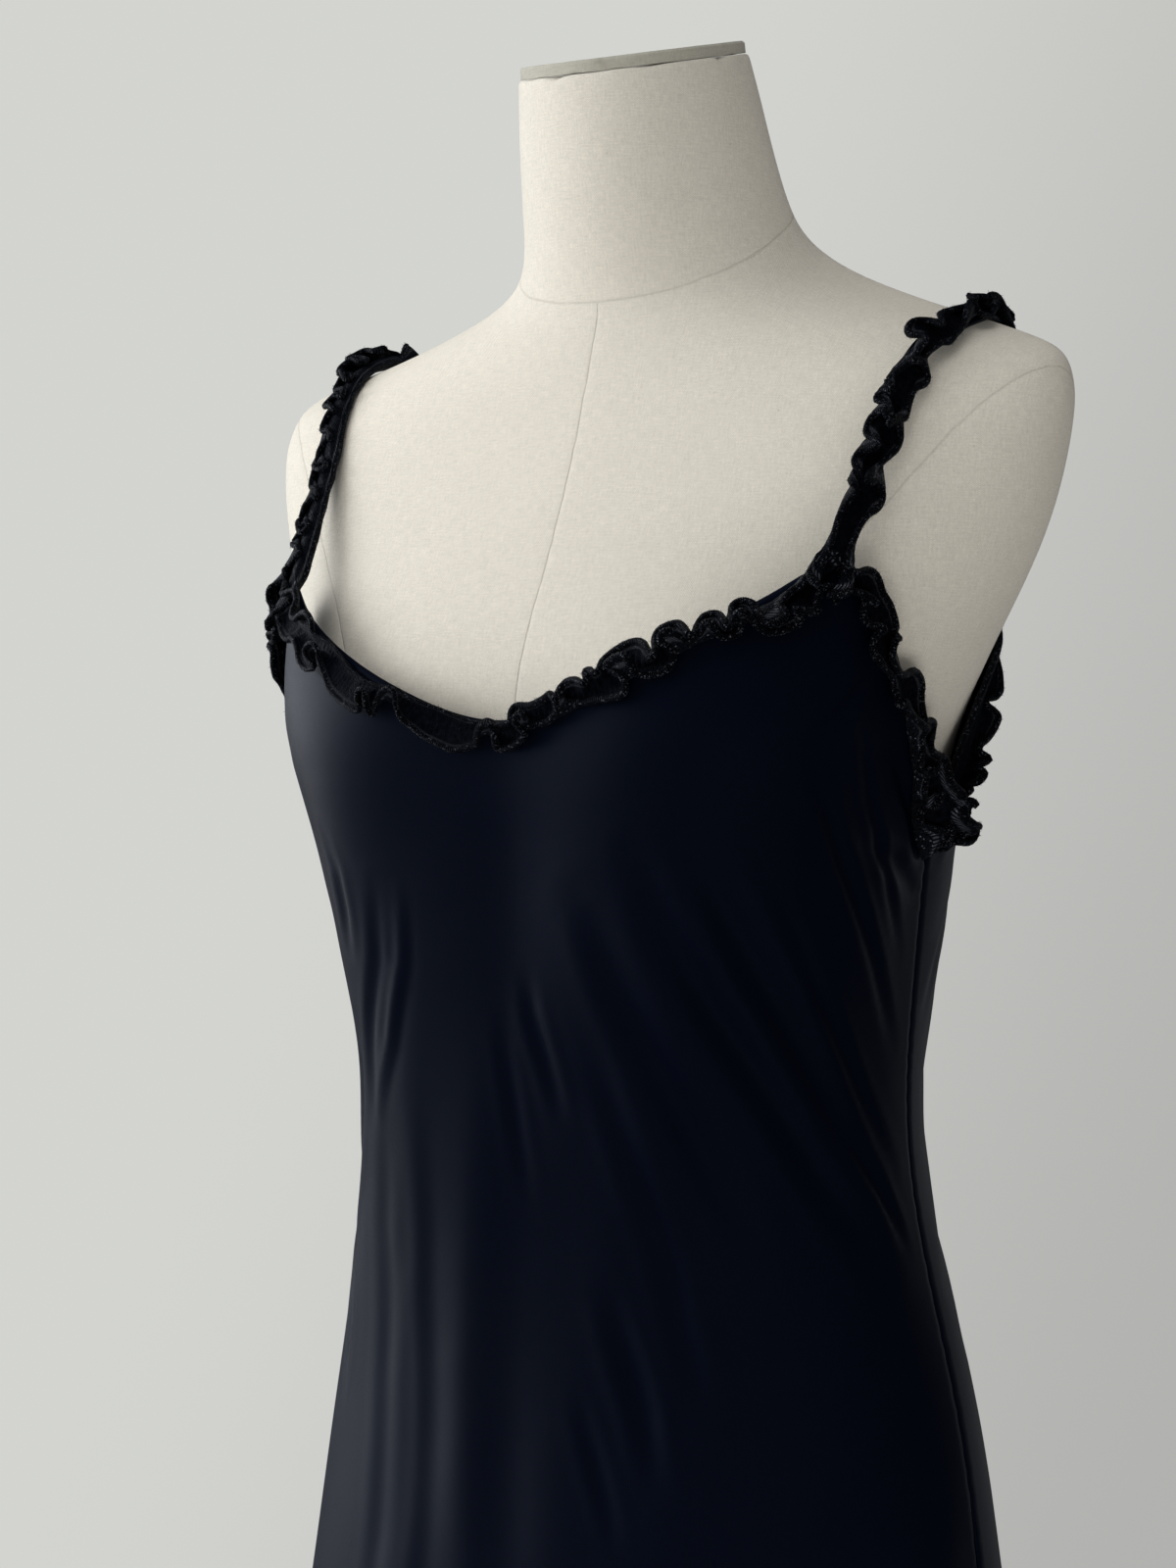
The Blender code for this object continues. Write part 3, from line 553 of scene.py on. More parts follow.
def shape_panel(made, creases):
    """Creases a panel, turns its edges in and returns its upper line and its sheet's tree."""
    spots = places_of(made)
    ways = np.zeros(spots.size)
    made.data.vertex_normals.foreach_get("vector", ways)
    ways = ways.reshape(-1, 3)
    spots = draw_creases(spots, ways, tree_of(spots, made), creases)
    turn = np.degrees(np.arctan2(spots[:, 1] - BODY_MIDDLE, spots[:, 0]))
    ripple = (0.35 * np.sin(np.radians(turn * 7) + spots[:, 2] / 47)
              + 0.25 * np.sin(np.radians(turn * 13) - spots[:, 2] / 29 + 1))
    spots = spots + ways * ripple[:, None]
    line = upper_line(spots, made)
    beside = np.abs(spots[:, 1] - BODY_MIDDLE)
    closed = np.exp(-(beside / SEAM_CLOSED) ** 2)  # the side edges meet at the seam
    spots[:, 1] += (BODY_MIDDLE - spots[:, 1]) * closed
    deep, wide = SEAM_TURN
    pucker = 0.18 * np.sin(spots[:, 2] * 2 * np.pi / 8.5) * np.exp(-(beside / 6) ** 2)
    move = -deep * np.exp(-(beside / wide) ** 2) + pucker
    off, _ = distance_along(spots, line[::2])
    move -= EDGE_TURN[0] * np.exp(-(off / EDGE_TURN[1]) ** 2)
    move -= HEM_TURN[0] * np.exp(-((spots[:, 2] - HEM_EDGE) / HEM_TURN[1]) ** 2)
    move -= 0.35 * np.exp(-((spots[:, 2] - HEM_LINE) / 1.4) ** 2)
    spots = spots + ways * move[:, None]
    made.data.vertices.foreach_set("co", (spots / 1000).ravel())
    made.data.update()
    return line, tree_of(spots, made)


def give_wall(made, wall):
    """Gives a sheet its thickness, inwards from the face that shows."""
    choose(made)
    solid = made.modifiers.new("wall", "SOLIDIFY")
    solid.thickness = wall / 1000
    solid.offset = -1
    bpy.ops.object.modifier_apply(modifier=solid.name)


KNIT, taken, given = new_group("fine jersey knit", [
    ("Threads", "Vector", (0, 0, 0)), ("Place", "Vector", (0, 0, 0)),
    ("Colour", "Color", (0.0012, 0.0025, 0.0082, 1)), ("Wale Pitch", "Float", 0.0007),
    ("Lint", "Float", 0.5),
])
apart = node(KNIT, "ShaderNodeSeparateXYZ", {"Vector": taken["Threads"]}).outputs
turns = sums(KNIT, "DIVIDE", 2 * math.pi, taken["Wale Pitch"])
wales = sums(KNIT, "SINE", times(KNIT, apart[0], turns))
loops = sums(KNIT, "SINE", times(KNIT, apart[1], turns, times(KNIT, wales, 0.9)))
cloudy = noise(KNIT, taken["Place"], 9.0, 4.0)
grain = noise(KNIT, taken["Place"], 900.0, 2.0)
tone = times(KNIT, cloudy, 0.35, times(KNIT, grain, 0.3, 0.68))
lint = times(KNIT, scattered(KNIT, taken["Place"], 60.0, 0.03, 0.93), taken["Lint"])
give(KNIT, given,
     blend_colours(KNIT, lint, shaded(KNIT, taken["Colour"], tone), (0.14, 0.14, 0.15, 1)),
     times(KNIT, grain, 0.12, 0.50), times(KNIT, loops, 0.5, wales))

jersey, tree, shader = new_material("black jersey", 0.56, specular=0.19,
                                    specular_tint=(0.60, 0.74, 1.0, 1))
coords = node(tree, "ShaderNodeTexCoord").outputs
knit = use_group(tree, KNIT, Threads=coords["UV"], Place=coords["Object"])
spot = node(tree, "ShaderNodeSeparateXYZ", {"Vector": coords["Object"]}).outputs
round_body = times(tree, sums(tree, "ARCTAN2", spot[1], spot[0]), HEM_STITCHES)
stitches = sums(tree, "GREATER_THAN", sums(tree, "SINE", round_body), -0.3)
from_line = sums(tree, "ABSOLUTE", sums(tree, "SUBTRACT", spot[2], HEM_LINE / 1000))
thread = times(tree, sums(tree, "LESS_THAN", from_line, 0.0003), stitches)
worked = blend_colours(tree, thread, knit["Colour"], (0.02, 0.022, 0.03, 1))
finish_surface(tree, shader, worked, knit["Roughness"],
               times(tree, knit["Height"], 0.05, thread), 0.0003, 0.6)

front = outer_layer("front_panel", "dress_front")
back = outer_layer("back_panel", "dress_back")
upper_edges = {"dress_front": shape_panel(front, FRONT_CREASES),
               "dress_back": shape_panel(back, BACK_CREASES)}
for made, source, area in ((front, "dress_front", 0.375), (back, "dress_back", 0.385)):
    give_wall(made, CLOTH_WALL)
    lay_threads(made)
    made.data.materials.append(jersey)
    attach(made, "root")
    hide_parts(source)


# ---- Straps --------------------------------------------------------------------
# Two narrow straps of the same jersey, folded and sewn flat, about 10 mm wide. Each
# is sewn to the front panel's upper edge, lies taut over the shoulder and ends on the
# back.
SHOULDER = (5, 1262)    # y and z, in millimetres, of the line that the straps go round
CHEST = (0, 5, 1200)    # a place in the body that a strap's outer face looks away from
CORNERS = 4             # points in each of a strap's packed rings


def unit(ways):
    """Directions at a length of one."""
    return ways / np.maximum(np.linalg.norm(ways, axis=-1, keepdims=True), 1e-9)


strap_rings = {}
for word, outwards in (("left", 1), ("right", -1)):
    strap = joined_copy(f"{word}_strap", f"strap_{word}")
    spots = places_of(strap)
    order = sorted(range(len(spots)), key=lambda i: -math.atan2(
        spots[i][2] - SHOULDER[1], spots[i][1] - SHOULDER[0]))
    rings = [spots[order[k:k + CORNERS]] for k in range(0, len(order), CORNERS)]
    middles = np.array([ring.mean(axis=0) for ring in rings])
    rows = []
    for k, ring in enumerate(rings):
        along = unit(middles[min(k + 1, len(middles) - 1)] - middles[max(k - 1, 0)])
        spread = np.linalg.svd(ring - middles[k])[2][0]
        across = unit(spread - along * (spread @ along))
        if across[0] * outwards < 0:
            across = -across
        out = np.cross(along, across)
        if out[2] < 0 and abs(out[2]) > 0.2 or out @ (middles[k] - CHEST) < 0:
            out = -out
        rows.append((middles[k], along, out, across))
    strap_rings[word] = [np.array(column) for column in zip(*rows)]
    crease_corners(40, 0.7)
    refine(strap, 2)
    lay_threads(strap)
    strap.data.materials.append(jersey)
    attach(strap, "root")
    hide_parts(f"strap_{word}")


# ---- Ruffles -------------------------------------------------------------------
# Strips of black velvet, gathered along their middle and sewn to the neckline, the
# armholes and the straps. Both free edges are overlocked into thick ribbed rolls that
# wander in loops, with a fine lighter thread inside them and frayed ends of pile. On
# the rolls, highlights are painted on the rib crests, shade between the ribs and glints
# in light specks, and the thread is painted lighter still as the highlight along them.
STRIP_HALF_WALL = 0.5    # millimetres, as all sizes here that don't name metres
FLAP_STEPS = 6           # points from the stitching to a free edge
ROLL_STEPS = 9           # points round an edge's roll
ROLL_ARC = 135           # degrees that a roll goes round its edge's middle, each way
STITCH_DROP = 5.0        # the stitching lies this far below the panel's edge
FACE_DROP = 4            # and the way that the cloth faces is read this far below it
STRAP_HALF_THICK = 0.8   # on a strap, the stitching lies this far off its middle
SEAM_GAP = 0.3           # the strip stands this far off the panel at its stitching
CURVE_STEPS = 12         # points of a free edge's curve from one row to the next
SECTION_STEP = 1.1       # length of edge between two sections
ROLL_CLEAR = 0.4         # the least gap between a roll and the panels
STRIP_CLEAR = 0.35       # the least gap between the strip and the panels
CLEAR_REACH = 25         # a panel further off than this isn't in a point's way
THICK_ROLLS = dict(upper=[(0, 1.55)], lower=[(0, 1.55)])  # along the stitching, radius
NECK_ROLLS = dict(upper=[(0, 1.55), (152, 1.55), (168, 0.8), (262, 0.8), (274, 1.45)],
                  lower=[(0, 1.6), (165, 1.5), (180, 1.15), (262, 1.15), (278, 1.45)])
STRAP_ROLLS = dict(upper=[(0, 1.35)], lower=[(0, 1.35)])
GATHER_SPREAD = 26       # length of edge over which the gathers are shared out
PLEATS = {-1: 2.1, 1: 2.6}  # length of a fine pleat at the stitching, below and above it
PLEAT_DEPTH = 1.65       # it fades towards the stitching and the free edge
FLAP_BEND = (0.42, 0.5, 0.12)  # a flap's bend: up by a share of its span, out, on by a share
FRAY_SPACING = 0.5       # length of edge for each tuft of frayed pile
FRAY_LENGTH = (0.5, 1.5)  # a tuft's least and greatest length
FRAY_HALF = 0.11         # half of a tuft's width
FRAY_TURN = 1.9          # radians round the roll, each way, in which tufts stand
RIB_PITCH = 0.00095      # metres along a roll from one rib to the next
DASH_PITCH = 0.0021      # metres along the lighter thread, also a painted highlight, from one stitch to the next
# A free edge's rows: along the stitching, up over the panel's edge, and out from the cloth.
NECK_UPPER = [
    (-6, 4, 5), (-5, 8, 5), (-2.5, 9, 4.5), (0.5, 7, 4.5), (3.5, 3.5, 6), (6.5, 0.5, 7.5),
    (8.5, 3, 6), (13.5, 0.5, 5), (18, 0.5, 4.5), (22, -1, 4.5), (25, -3, 5.5), (25.5, -7.5, 7.5),
    (28.5, -9.5, 8.5), (32.5, -9, 8), (34.5, -5.5, 7), (34.5, -1, 6), (34, 3, 5), (37, 6.5, 4),
    (41, 6.5, 4), (43.5, 3, 6), (45.5, -2, 8.5), (48, -3.5, 9.5), (47.5, 1, 7.5), (47.5, 4.5, 5),
    (49.5, 7, 4), (53.5, 7.5, 4), (57, 5, 5), (59.5, 1, 8), (61.5, 1, 9), (62, 5, 7),
    (63.5, 9.5, 4.5), (67, 11, 4), (71.5, 11, 4), (74.5, 8, 5), (75.5, 2, 8), (78, -2, 9.5),
    (78.5, 3, 7), (79.5, 8.5, 5), (82.5, 11.5, 4), (87.5, 12.5, 4), (94, 12, 4), (98.5, 10, 5),
    (99.5, 6.5, 7), (101.5, 5.5, 8), (104, 9, 6), (106.5, 9.5, 5.5), (106, 6, 7), (108, 5, 7),
    (112.5, 9, 5), (117, 10, 4.5), (120.5, 8, 5.5), (121.5, 4, 8), (123.5, 6, 7),
    (125.5, 8.5, 5.5), (130, 8, 5), (137.5, 8, 4.5), (144.5, 9.5, 4.5), (147, 7.5, 5.5),
    (147, 3.5, 7.5), (150.5, 3, 7), (154.5, 3, 5), (158, 4, 4), (161.5, 5, 4), (165.5, 3.5, 3),
    (170, 3.5, 2.5), (178, 4, 2), (185, 4.5, 2), (192.5, 4, 2), (201, 3.5, 2), (207.5, 4.5, 2),
    (214, 2.5, 2), (220, 1, 2), (226, 0.5, 2), (235.5, 1.5, 2), (245, 3, 2), (255, 4, 2),
    (261.5, 3.5, 3), (267, 2.5, 4), (270.5, 7, 6), (276.5, 7.5, 7), (283, 1.5, 6), (288, 2, 6),
    (292, 7, 5), (299, 8, 5), (305, 3, 7), (309, 5, 6), (315, 6, 5),
]
NECK_LOWER = [
    (0.5, -12, 4), (-1, -8, 6), (1, -5.5, 8), (5.5, -5, 8.5), (9.5, -6.5, 7.5), (12.5, -9.5, 6),
    (13.5, -12.5, 5), (16.5, -11.5, 5), (19.5, -9, 7), (22, -8, 8.5), (21.5, -11.5, 7),
    (23, -13, 5), (27.5, -12.5, 3.5), (33, -11, 3), (36, -7.5, 3.5), (37.5, -4.5, 6),
    (38.5, -1.5, 9), (40, 0.5, 10), (43, 0, 9), (43, -4, 6), (45, -5.5, 4), (49, -4.5, 3),
    (51.5, -2.5, 4), (52, -0.5, 7), (52, 1.5, 9.5), (54.5, 2.5, 9), (57.5, 1, 6.5), (60.5, 1, 4),
    (64, 2, 4), (66, 4, 6.5), (67.5, 6, 9), (70, 6.5, 9.5), (72.5, 4, 8.5), (71, 1, 7),
    (70.5, -2.5, 5), (73, -5.5, 3.5), (78, -6, 3), (83, -4.5, 3), (86.5, -2, 4.5), (87, 1.5, 7.5),
    (86.5, 4.5, 10), (90.5, 6, 10), (95.5, 5.5, 9), (96, 4, 7.5), (93.5, 2, 7), (92, -1.5, 5.5),
    (92.5, -5, 4), (96, -7, 3), (106, -3, 3), (114, -0.5, 3), (120, 3, 4.5), (119.5, 6.5, 7.5),
    (122, 5, 7), (124.5, 1.5, 5), (130.5, -1, 3.5), (137, 0, 3), (140, 2.5, 5), (140, 5.5, 8),
    (144, 4, 8), (144, 1, 7), (142.5, -2.5, 5), (145.5, -4.5, 4), (151, -6.5, 3), (156.5, -7, 3),
    (157, -4, 5), (156, 1, 7.5), (157.5, 3.5, 9), (161.5, 2.5, 9), (164, -1, 7), (165, -5, 4.5),
    (169, -7.5, 3), (175, -10, 3), (181, -9.5, 3), (188, -8.5, 3), (193.5, -7, 3.5),
    (198.5, -5.5, 5), (202, -1.5, 7), (204, 3.5, 9), (207.5, 4, 9.5), (210.5, -0.5, 8),
    (211.5, -5, 6), (211, -8.5, 4), (213.5, -10, 4.5), (215, -7, 7), (217, -3, 9), (219.5, -4, 9),
    (219, -8, 7), (217.5, -11.5, 4), (221.5, -12.5, 3.5), (229, -12.5, 3), (238, -11, 3),
    (244.5, -7.5, 4), (250.5, -4, 5.5), (254, 0, 7.5), (257.5, 0.5, 9), (261, -4, 7.5),
    (257.5, -7, 6), (252, -7.5, 4.5), (258, -11, 3.5), (265.5, -10.5, 4), (270.5, -7, 5),
    (277, -5.5, 5.5), (284, -9, 4), (292, -10, 4), (300, -7, 6), (306, -9, 4.5), (315, -7, 5),
]
ARM_OUTER = [
    (0, 12, 13), (-4, 17, 17), (-3.5, 22, 19), (4, 21, 20), (9, 18, 19), (13, 17, 17),
    (17, 17.5, 15), (20, 19.5, 15), (20.5, 21.5, 18), (23, 21, 16), (23, 20, 13), (27, 20, 11),
    (32, 16, 10), (35, 15, 9.5), (38, 16.5, 9), (41, 17, 8.5), (44, 13, 8), (48.5, 8, 7.5),
    (52, 9, 7), (51.5, 16.5, 6), (54, 20.5, 5.5), (60, 14, 6), (65, 5, 7), (70.5, 6, 6),
    (75, 8, 5.5), (78.5, 11.5, 5), (84.5, 9.5, 5), (88.5, 5, 5), (90.5, -1.5, 5), (94, -6, 5.5),
    (99, -8, 6), (103, -8.5, 6.5), (106, -7.5, 8), (108, -5, 9), (108, -2, 8.5), (107, -0.5, 7.5),
    (109.5, 0, 6.5), (110.5, 3.5, 5.5), (114.5, 5.5, 5), (119.5, 6.5, 5), (124.5, 6.5, 5),
    (127.5, 8, 5), (131, 9.5, 5), (134.5, 8.5, 5), (138, 4, 6), (144, 3, 5),
]
ARM_INNER = [
    (0, 5, 4), (4, 6, 7), (8, 9, 9), (11, 8, 8), (15, 4, 6), (20, -1, 5.5), (26, 1, 6),
    (30, 5, 8), (32, 8, 10), (30.5, 4.5, 11), (25.5, 4, 8.5), (30.5, 2, 6), (36, 1, 5.5),
    (40.5, 2.5, 6), (44, 5, 8.5), (43.5, 7, 10), (40.5, 5.5, 8.5), (41.5, 1, 6), (45, -3, 5),
    (50, -2, 5), (54, 1.5, 5.5), (60, 1, 6.5), (63.5, 2, 8.5), (67.5, -1.5, 8), (71, -3.5, 6.5),
    (76.5, -6.5, 6), (83, -10, 7), (82, -12.5, 6), (85, -12.5, 5), (89.5, -11, 4.5),
    (94.5, -11, 5), (99, -12.5, 4.5), (103, -14.5, 4.5), (107, -15, 4.5), (110.5, -14, 5),
    (113.5, -11.5, 5.5), (115, -9, 7), (115, -6.5, 9), (117, -6.5, 7), (119, -8.5, 5.5),
    (122.5, -9.5, 5), (126, -8, 5), (128, -5, 6), (126.5, -3, 8.5), (124.5, -3.5, 9.5),
    (128, -2, 7), (131, -2.5, 5.5), (136, -4.5, 5), (144, -3.5, 5),
]
FAR_ARM_FROM = 90        # on the wearer's right, the outer edge's rows from here on are these
FAR_ARM_TOP = [
    (93.5, 1, 10), (97, 3, 12), (100.5, 3, 13), (103.5, 2, 11.5), (107, 1, 8), (109.5, 2, 9.5),
    (111.5, 4, 12), (114, 5, 13.5), (116, 3, 10), (116, 1, 6.5), (119, 4.5, 5), (124, 7, 5),
    (129, 9, 5), (135, 8, 5.5), (144, 3, 5),
]
BACK_ARM_OUTER = [
    (0, 6, 10), (3, 11, 13), (7, 15, 12), (11, 10, 9), (14, 8, 11), (18, 11, 12), (23, 11, 7),
    (29, 11, 3), (36, 11.5, 0.5), (46, 12, 0), (56, 11.5, 0), (67, 12, 0), (78, 11, 0), (88, 9, 0.5),
    (97, 6, 0.5), (104, 3.5, 0), (109, 2, 0.5), (114, 1, 0.5), (119, 1.5, 0.5), (125, 1.5, 1),
    (130, 1.5, 2), (135, 3, 2.5),
]
BACK_ARM_INNER = [
    (0, 2, 6), (4, 2, 9), (8, 1, 12), (12, -1, 9), (16, -3, 7), (20, -1, 9), (23, 3, 8),
    (26, 2, 7), (28.5, 2, 9), (32, 0, 5.5), (35, -2, 9), (39.5, -3, 10), (41.5, -1, 6.5),
    (44, -2, 8), (47.5, -3, 10), (49, 0, 6), (52, 0, 5.5), (57.5, -3, 6.5), (64, -4, 8),
    (70, -4, 8.5), (72.5, -3, 6), (73, 0, 3), (75.5, 1, 2.5), (79, -2, 5.5), (84.5, -4, 6.5),
    (91, -4, 5), (98, -4, 3), (103.5, -3, 1), (108, -5, 0.5), (112, -6, 1.5), (115, -4, 2),
    (119, -6, 1), (125, -7, 1.5), (130, -4, 2.5), (135, -4, 3),
]
STRAP_NECK_SIDE = [
    (-15, -2, 7), (-13, -6.5, 6), (-9, -8, 4.5), (-5, -5.5, 3), (3, -4, 3), (10.5, -4.5, 3),
    (18.5, -5, 3.5), (25, -3.5, 5), (28.5, -2.5, 7), (29.5, -5.5, 8), (33, -6, 5), (35.5, -2.5, 6),
    (38, -5.5, 4.5), (42, -7.5, 3.5), (46, -6, 4), (48, -1.5, 7.5), (51, -1.5, 8),
    (53, -6, 4.5), (57, -7.5, 3.5), (61.5, -7, 5), (63.5, -4, 8), (61.5, -1, 9), (66, -1.5, 8.5),
    (68.5, -5, 5), (69, -8, 3.5), (72.5, -7.5, 3.5), (74, -3, 7), (77, -6.5, 4), (81, -5, 3.5),
    (86.5, -2, 4), (90, 0.5, 5), (93.5, 0, 7), (97.5, 1, 8.5), (100, -1.5, 7.5), (99, -6.5, 5),
    (102.5, -9.5, 3.5), (108, -9.5, 3.5), (110.5, -4, 5.5), (109, 2, 8.5), (114, -2, 7),
    (120, -5, 3.5), (127, -4, 3.5), (133, -1.5, 5), (139, -1.5, 7), (142.5, -6.5, 5),
]
STRAP_ARM_SIDE = [
    (-17, 2, 7), (-14, 8, 6), (-10, 10, 4.5), (-5.5, 8.5, 3), (-1.5, 5, 3), (4, 4, 3),
    (10.5, 4, 3.5), (17.5, 4.5, 3.5), (23, 6, 3.5), (28, 9, 3), (33, 9, 4), (36, 5, 6.5),
    (33, 0.5, 8.5), (37.5, 0, 7.5), (43.5, 2.5, 4.5), (49, 5, 3.5), (54.5, 7.5, 3.5),
    (60.5, 7, 4), (63.5, 3, 6.5), (59.5, 0, 9), (64, 1, 8), (68, 6, 3.5), (75.5, 5.5, 2.5),
    (81, 5.5, 3), (84.5, 8.5, 3.5), (88.5, 8.5, 3.5), (91, 4, 6), (88.5, -0.5, 8), (95, 3, 4),
    (100.5, 4.5, 4), (106.5, 6, 4), (110, 8, 3.5), (117, 7, 3), (124, 5.5, 3.5),
    (131, 1, 7), (137.5, -1, 7), (138.5, 4.5, 4), (145, 7, 3),
]
FAR_STRAP_NECK_SIDE = [  # the wearer's right, as far as the top of the shoulder
    (-18, -2, 4), (-16, -7, 1), (-11, -9, -1), (-6, -8, -2), (-2, -6.5, -3), (2, -6, -4),
    (6.5, -6.2, -4.5), (12.5, -6, -4.5), (25, -6, -4.5), (33.5, -5.6, -4), (42, -6, -4),
    (50, -6.2, -3.5), (58, -5.8, -4), (64, -6.2, -3.5), (72, -5.8, -4), (79.5, -6, -4.2),
    (87.5, -5.6, -4.4), (95, -6.2, -4.2), (103.5, -6, -4.4), (112, -5.8, -4), (120, -6.4, -3.8),
    (132, -6, -4), (144.5, -6.4, -3.8), (156.5, -6, -3.6), (170, -5, -3),
]
FAR_STRAP_ARM_SIDE = [
    (-23, 0, 6), (-24, 4, 4), (-18, 6, 3), (-11.5, 5, 5), (-9, 5, 7), (-5, 2, 8.5),
    (-2, 0, 5.5), (2.5, 1, 3.5), (7, 1.5, 4.5), (10, 2, 3.5), (10, -3, 2.5), (13, -5.5, 1),
    (18, -3, 2.5), (22, 2, 4), (27, 0.5, 2.5), (31, -4, 2), (28, -6, 0.5), (25, -4, 2.5),
    (32, 0, 4.5), (38, 2, 3.5), (43, 0.5, 3.5), (46, -4, 2), (44, -6, 0.5), (50, -4.5, 1.5),
    (54, 0.5, 3), (60.5, 1.5, 3.5), (65, -1, 3.5), (66, -5.5, 1), (61, -5.5, 1), (64, -1, 4.5),
    (70, 1.5, 3.5), (76, 1, 3), (80, -4, 1.5), (78, -6, 0.5), (84, -4, 1.5), (87, 1.5, 3),
    (92, 1, 3), (96, -3, 2.5), (94, -5.5, 1), (98, -3, 3.5), (101, 2, 4.5), (105, 2.5, 3.5),
    (106, -3, 2.5), (103, -6, 0.5), (110, -5, 1), (113, 1, 3), (119, 1, 3.5), (123, -2, 4),
    (121, -6, 1.5), (116, -5, 2.5), (124, -2, 6), (129, 2.5, 5.5), (136, 4, 7.5), (140, -1, 7),
    (137, -5.5, 3), (143, -6, 2), (147, -2, 5.5), (146, 3, 9), (153, 4, 10), (158, 0, 9),
    (156, -5, 4.5), (161, -5, 3.5), (163, 1, 8), (162, 5, 10.5), (168, 5, 11), (171, 0, 8.5),
    (176, 4, 10), (180, 2, 6),
]
FAR_STRAP_FRONT = 178.0  # how far those two tables reach along the stitching
STRAP_BACK_FROM = -2     # a strap's back half takes its near side's rows from here on
EVEN_LOOPS = {  # how many loops, how high, how deep between them and how far out
    "neckline_ruffle_back": (11, 10.0, 3.0, 9.0),
    "armhole_ruffle_back_right": (6, 5.6, 1.8, 5.8),
}


def length_so_far(points):
    """The length along a chain up to each of its points."""
    return np.concatenate([[0], np.cumsum(np.linalg.norm(np.diff(points, axis=0), axis=1))])


def points_at(lengths, ends, points):
    """The points of a chain at given lengths along it."""
    return np.stack([np.interp(lengths, ends, points[:, k]) for k in range(3)], axis=1)


def between(values, at):
    """Rows read at places between them."""
    low = np.minimum(at.astype(int), len(values) - 2)
    part = (at - low)[:, None]
    return values[low] * (1 - part) + values[low + 1] * part


def even_line(points):
    """A chain of points made even, with a point about every millimetre."""
    points = np.array(points, dtype=float)
    ends = length_so_far(points)
    return points_at(np.linspace(0, ends[-1], int(round(ends[-1])) + 1), ends, points)


def smooth_rows(rows, passes):
    """Takes the jitter out of rows of directions."""
    for _ in range(passes):
        inner = (rows[:-2] + 2 * rows[1:-1] + rows[2:]) / 4
        rows = np.concatenate([rows[:1], inner, rows[-1:]])
    return unit(rows)


def panel_seam(line, sheet, start, end, left):
    """Rows of place, along, out and up for a ruffle's stitching on a panel's edge."""
    turn = [abs(turn_of(p)) for p in line]
    turn = turn if left else [180 - t for t in turn]
    spots = even_line([p for t, p in sorted(zip(turn, map(tuple, line))) if start <= t <= end])
    along = smooth_rows(np.gradient(spots, axis=0), 6)
    below = Vector((0, 0, FACE_DROP))
    out = np.array([tuple(sheet.find_nearest(Vector(p) - below)[1]) for p in spots])
    out = smooth_rows(out, 8)
    up = np.cross(out, along)
    up = unit(up * np.where(up[:, 2] > 0, 1, -1)[:, None])
    seat = np.array([tuple(sheet.find_nearest(Vector(p))[0]) for p in spots - up * STITCH_DROP])
    return seat, along, out, up


def strap_seam(middles, along, out, across):
    """The same for a strap, whose ruffle is sewn along its middle."""
    seat = even_line(middles + out * STRAP_HALF_THICK)
    share = np.linspace(0, len(middles) - 1, len(seat))
    return seat, *(unit(between(ways, share)) for ways in (along, out, across))


def spline(rows):
    """A smooth curve through given rows."""
    rows = np.array(rows, dtype=float)
    rows = np.concatenate([[2 * rows[0] - rows[1]], rows, [2 * rows[-1] - rows[-2]]])
    t = np.linspace(0, 1, CURVE_STEPS, endpoint=False)[:, None]
    made = []
    for i in range(1, len(rows) - 2):
        a, b, c, d = rows[i - 1:i + 3]
        made.append(0.5 * (2 * b + (c - a) * t + (2 * a - 5 * b + 4 * c - d) * t ** 2
                           + (3 * b - a - 3 * c + d) * t ** 3))
    made.append(rows[-2:-1])
    return np.concatenate(made)


def looping_edge(length, waves, high, low, near, far, shift, beat):
    """Rows of along, up and out for a free edge of uneven loops, wide above their feet."""
    widths = [1 + 0.28 * math.sin(beat * k + shift * 5) for k in range(waves)]
    pitch = length / sum(widths)
    rows, foot = [], 0.0
    for k, w in enumerate(widths):
        w *= pitch
        end = min(1.0, 0.6 + 0.4 * min(k, waves - 1 - k))
        top = high * end * (1 + 0.14 * math.sin(beat * 1.7 * k + 2))
        dip = low * (1 + 0.3 * math.sin(beat * 2.3 * k + 1))
        reach = far * end * (1 + 0.12 * math.sin(beat * 3.1 * k))
        neck = min(0.15 * w, 3.0)
        rows += [
            (foot, dip, reach), (foot + neck, (dip + top) * 0.5, reach * 0.9),
            (foot + neck * 1.15, top * 0.86, (reach + near) * 0.5),
            (foot + w * 0.36, top, near), (foot + w * 0.64, top * 0.98, near),
            (foot + w - neck * 1.15, top * 0.84, (reach + near) * 0.5),
            (foot + w - neck, (dip + top) * 0.5, reach * 0.9),
        ]
        foot += w
    rows.append((length, rows[0][1], rows[0][2]))
    rows = np.array(rows)
    rows[:, 0] = np.clip(rows[:, 0] + shift * pitch * np.sin(
        np.pi * np.clip(rows[:, 0] / length, 0, 1)), 0, length)
    return rows


def edge_in_place(rows, seam):
    """A free edge's curve from its rows, laid along the seam; also its length so far."""
    seat, along, out, up = seam
    curve = spline(rows)
    at = np.clip(curve[:, 0], 0, len(seat) - 1)
    over = (curve[:, 0] - at)[:, None]
    placed = (between(seat, at) + between(along, at) * over
              + between(up, at) * curve[:, 1:2] + between(out, at) * curve[:, 2:3])
    return placed, length_so_far(placed)


def clear_of(spots, sheets, clear):
    """Points moved out until they stand clear of the sheets below them."""
    made = spots.copy()
    for i, p in enumerate(made):
        for sheet in sheets:
            place, normal, _, off = sheet.find_nearest(Vector(p))
            if place is None or off > CLEAR_REACH:
                continue
            stand = (Vector(p) - place).dot(normal)
            if stand < clear[i]:
                p = p + np.array(normal) * (clear[i] - stand)
        made[i] = p
    return made


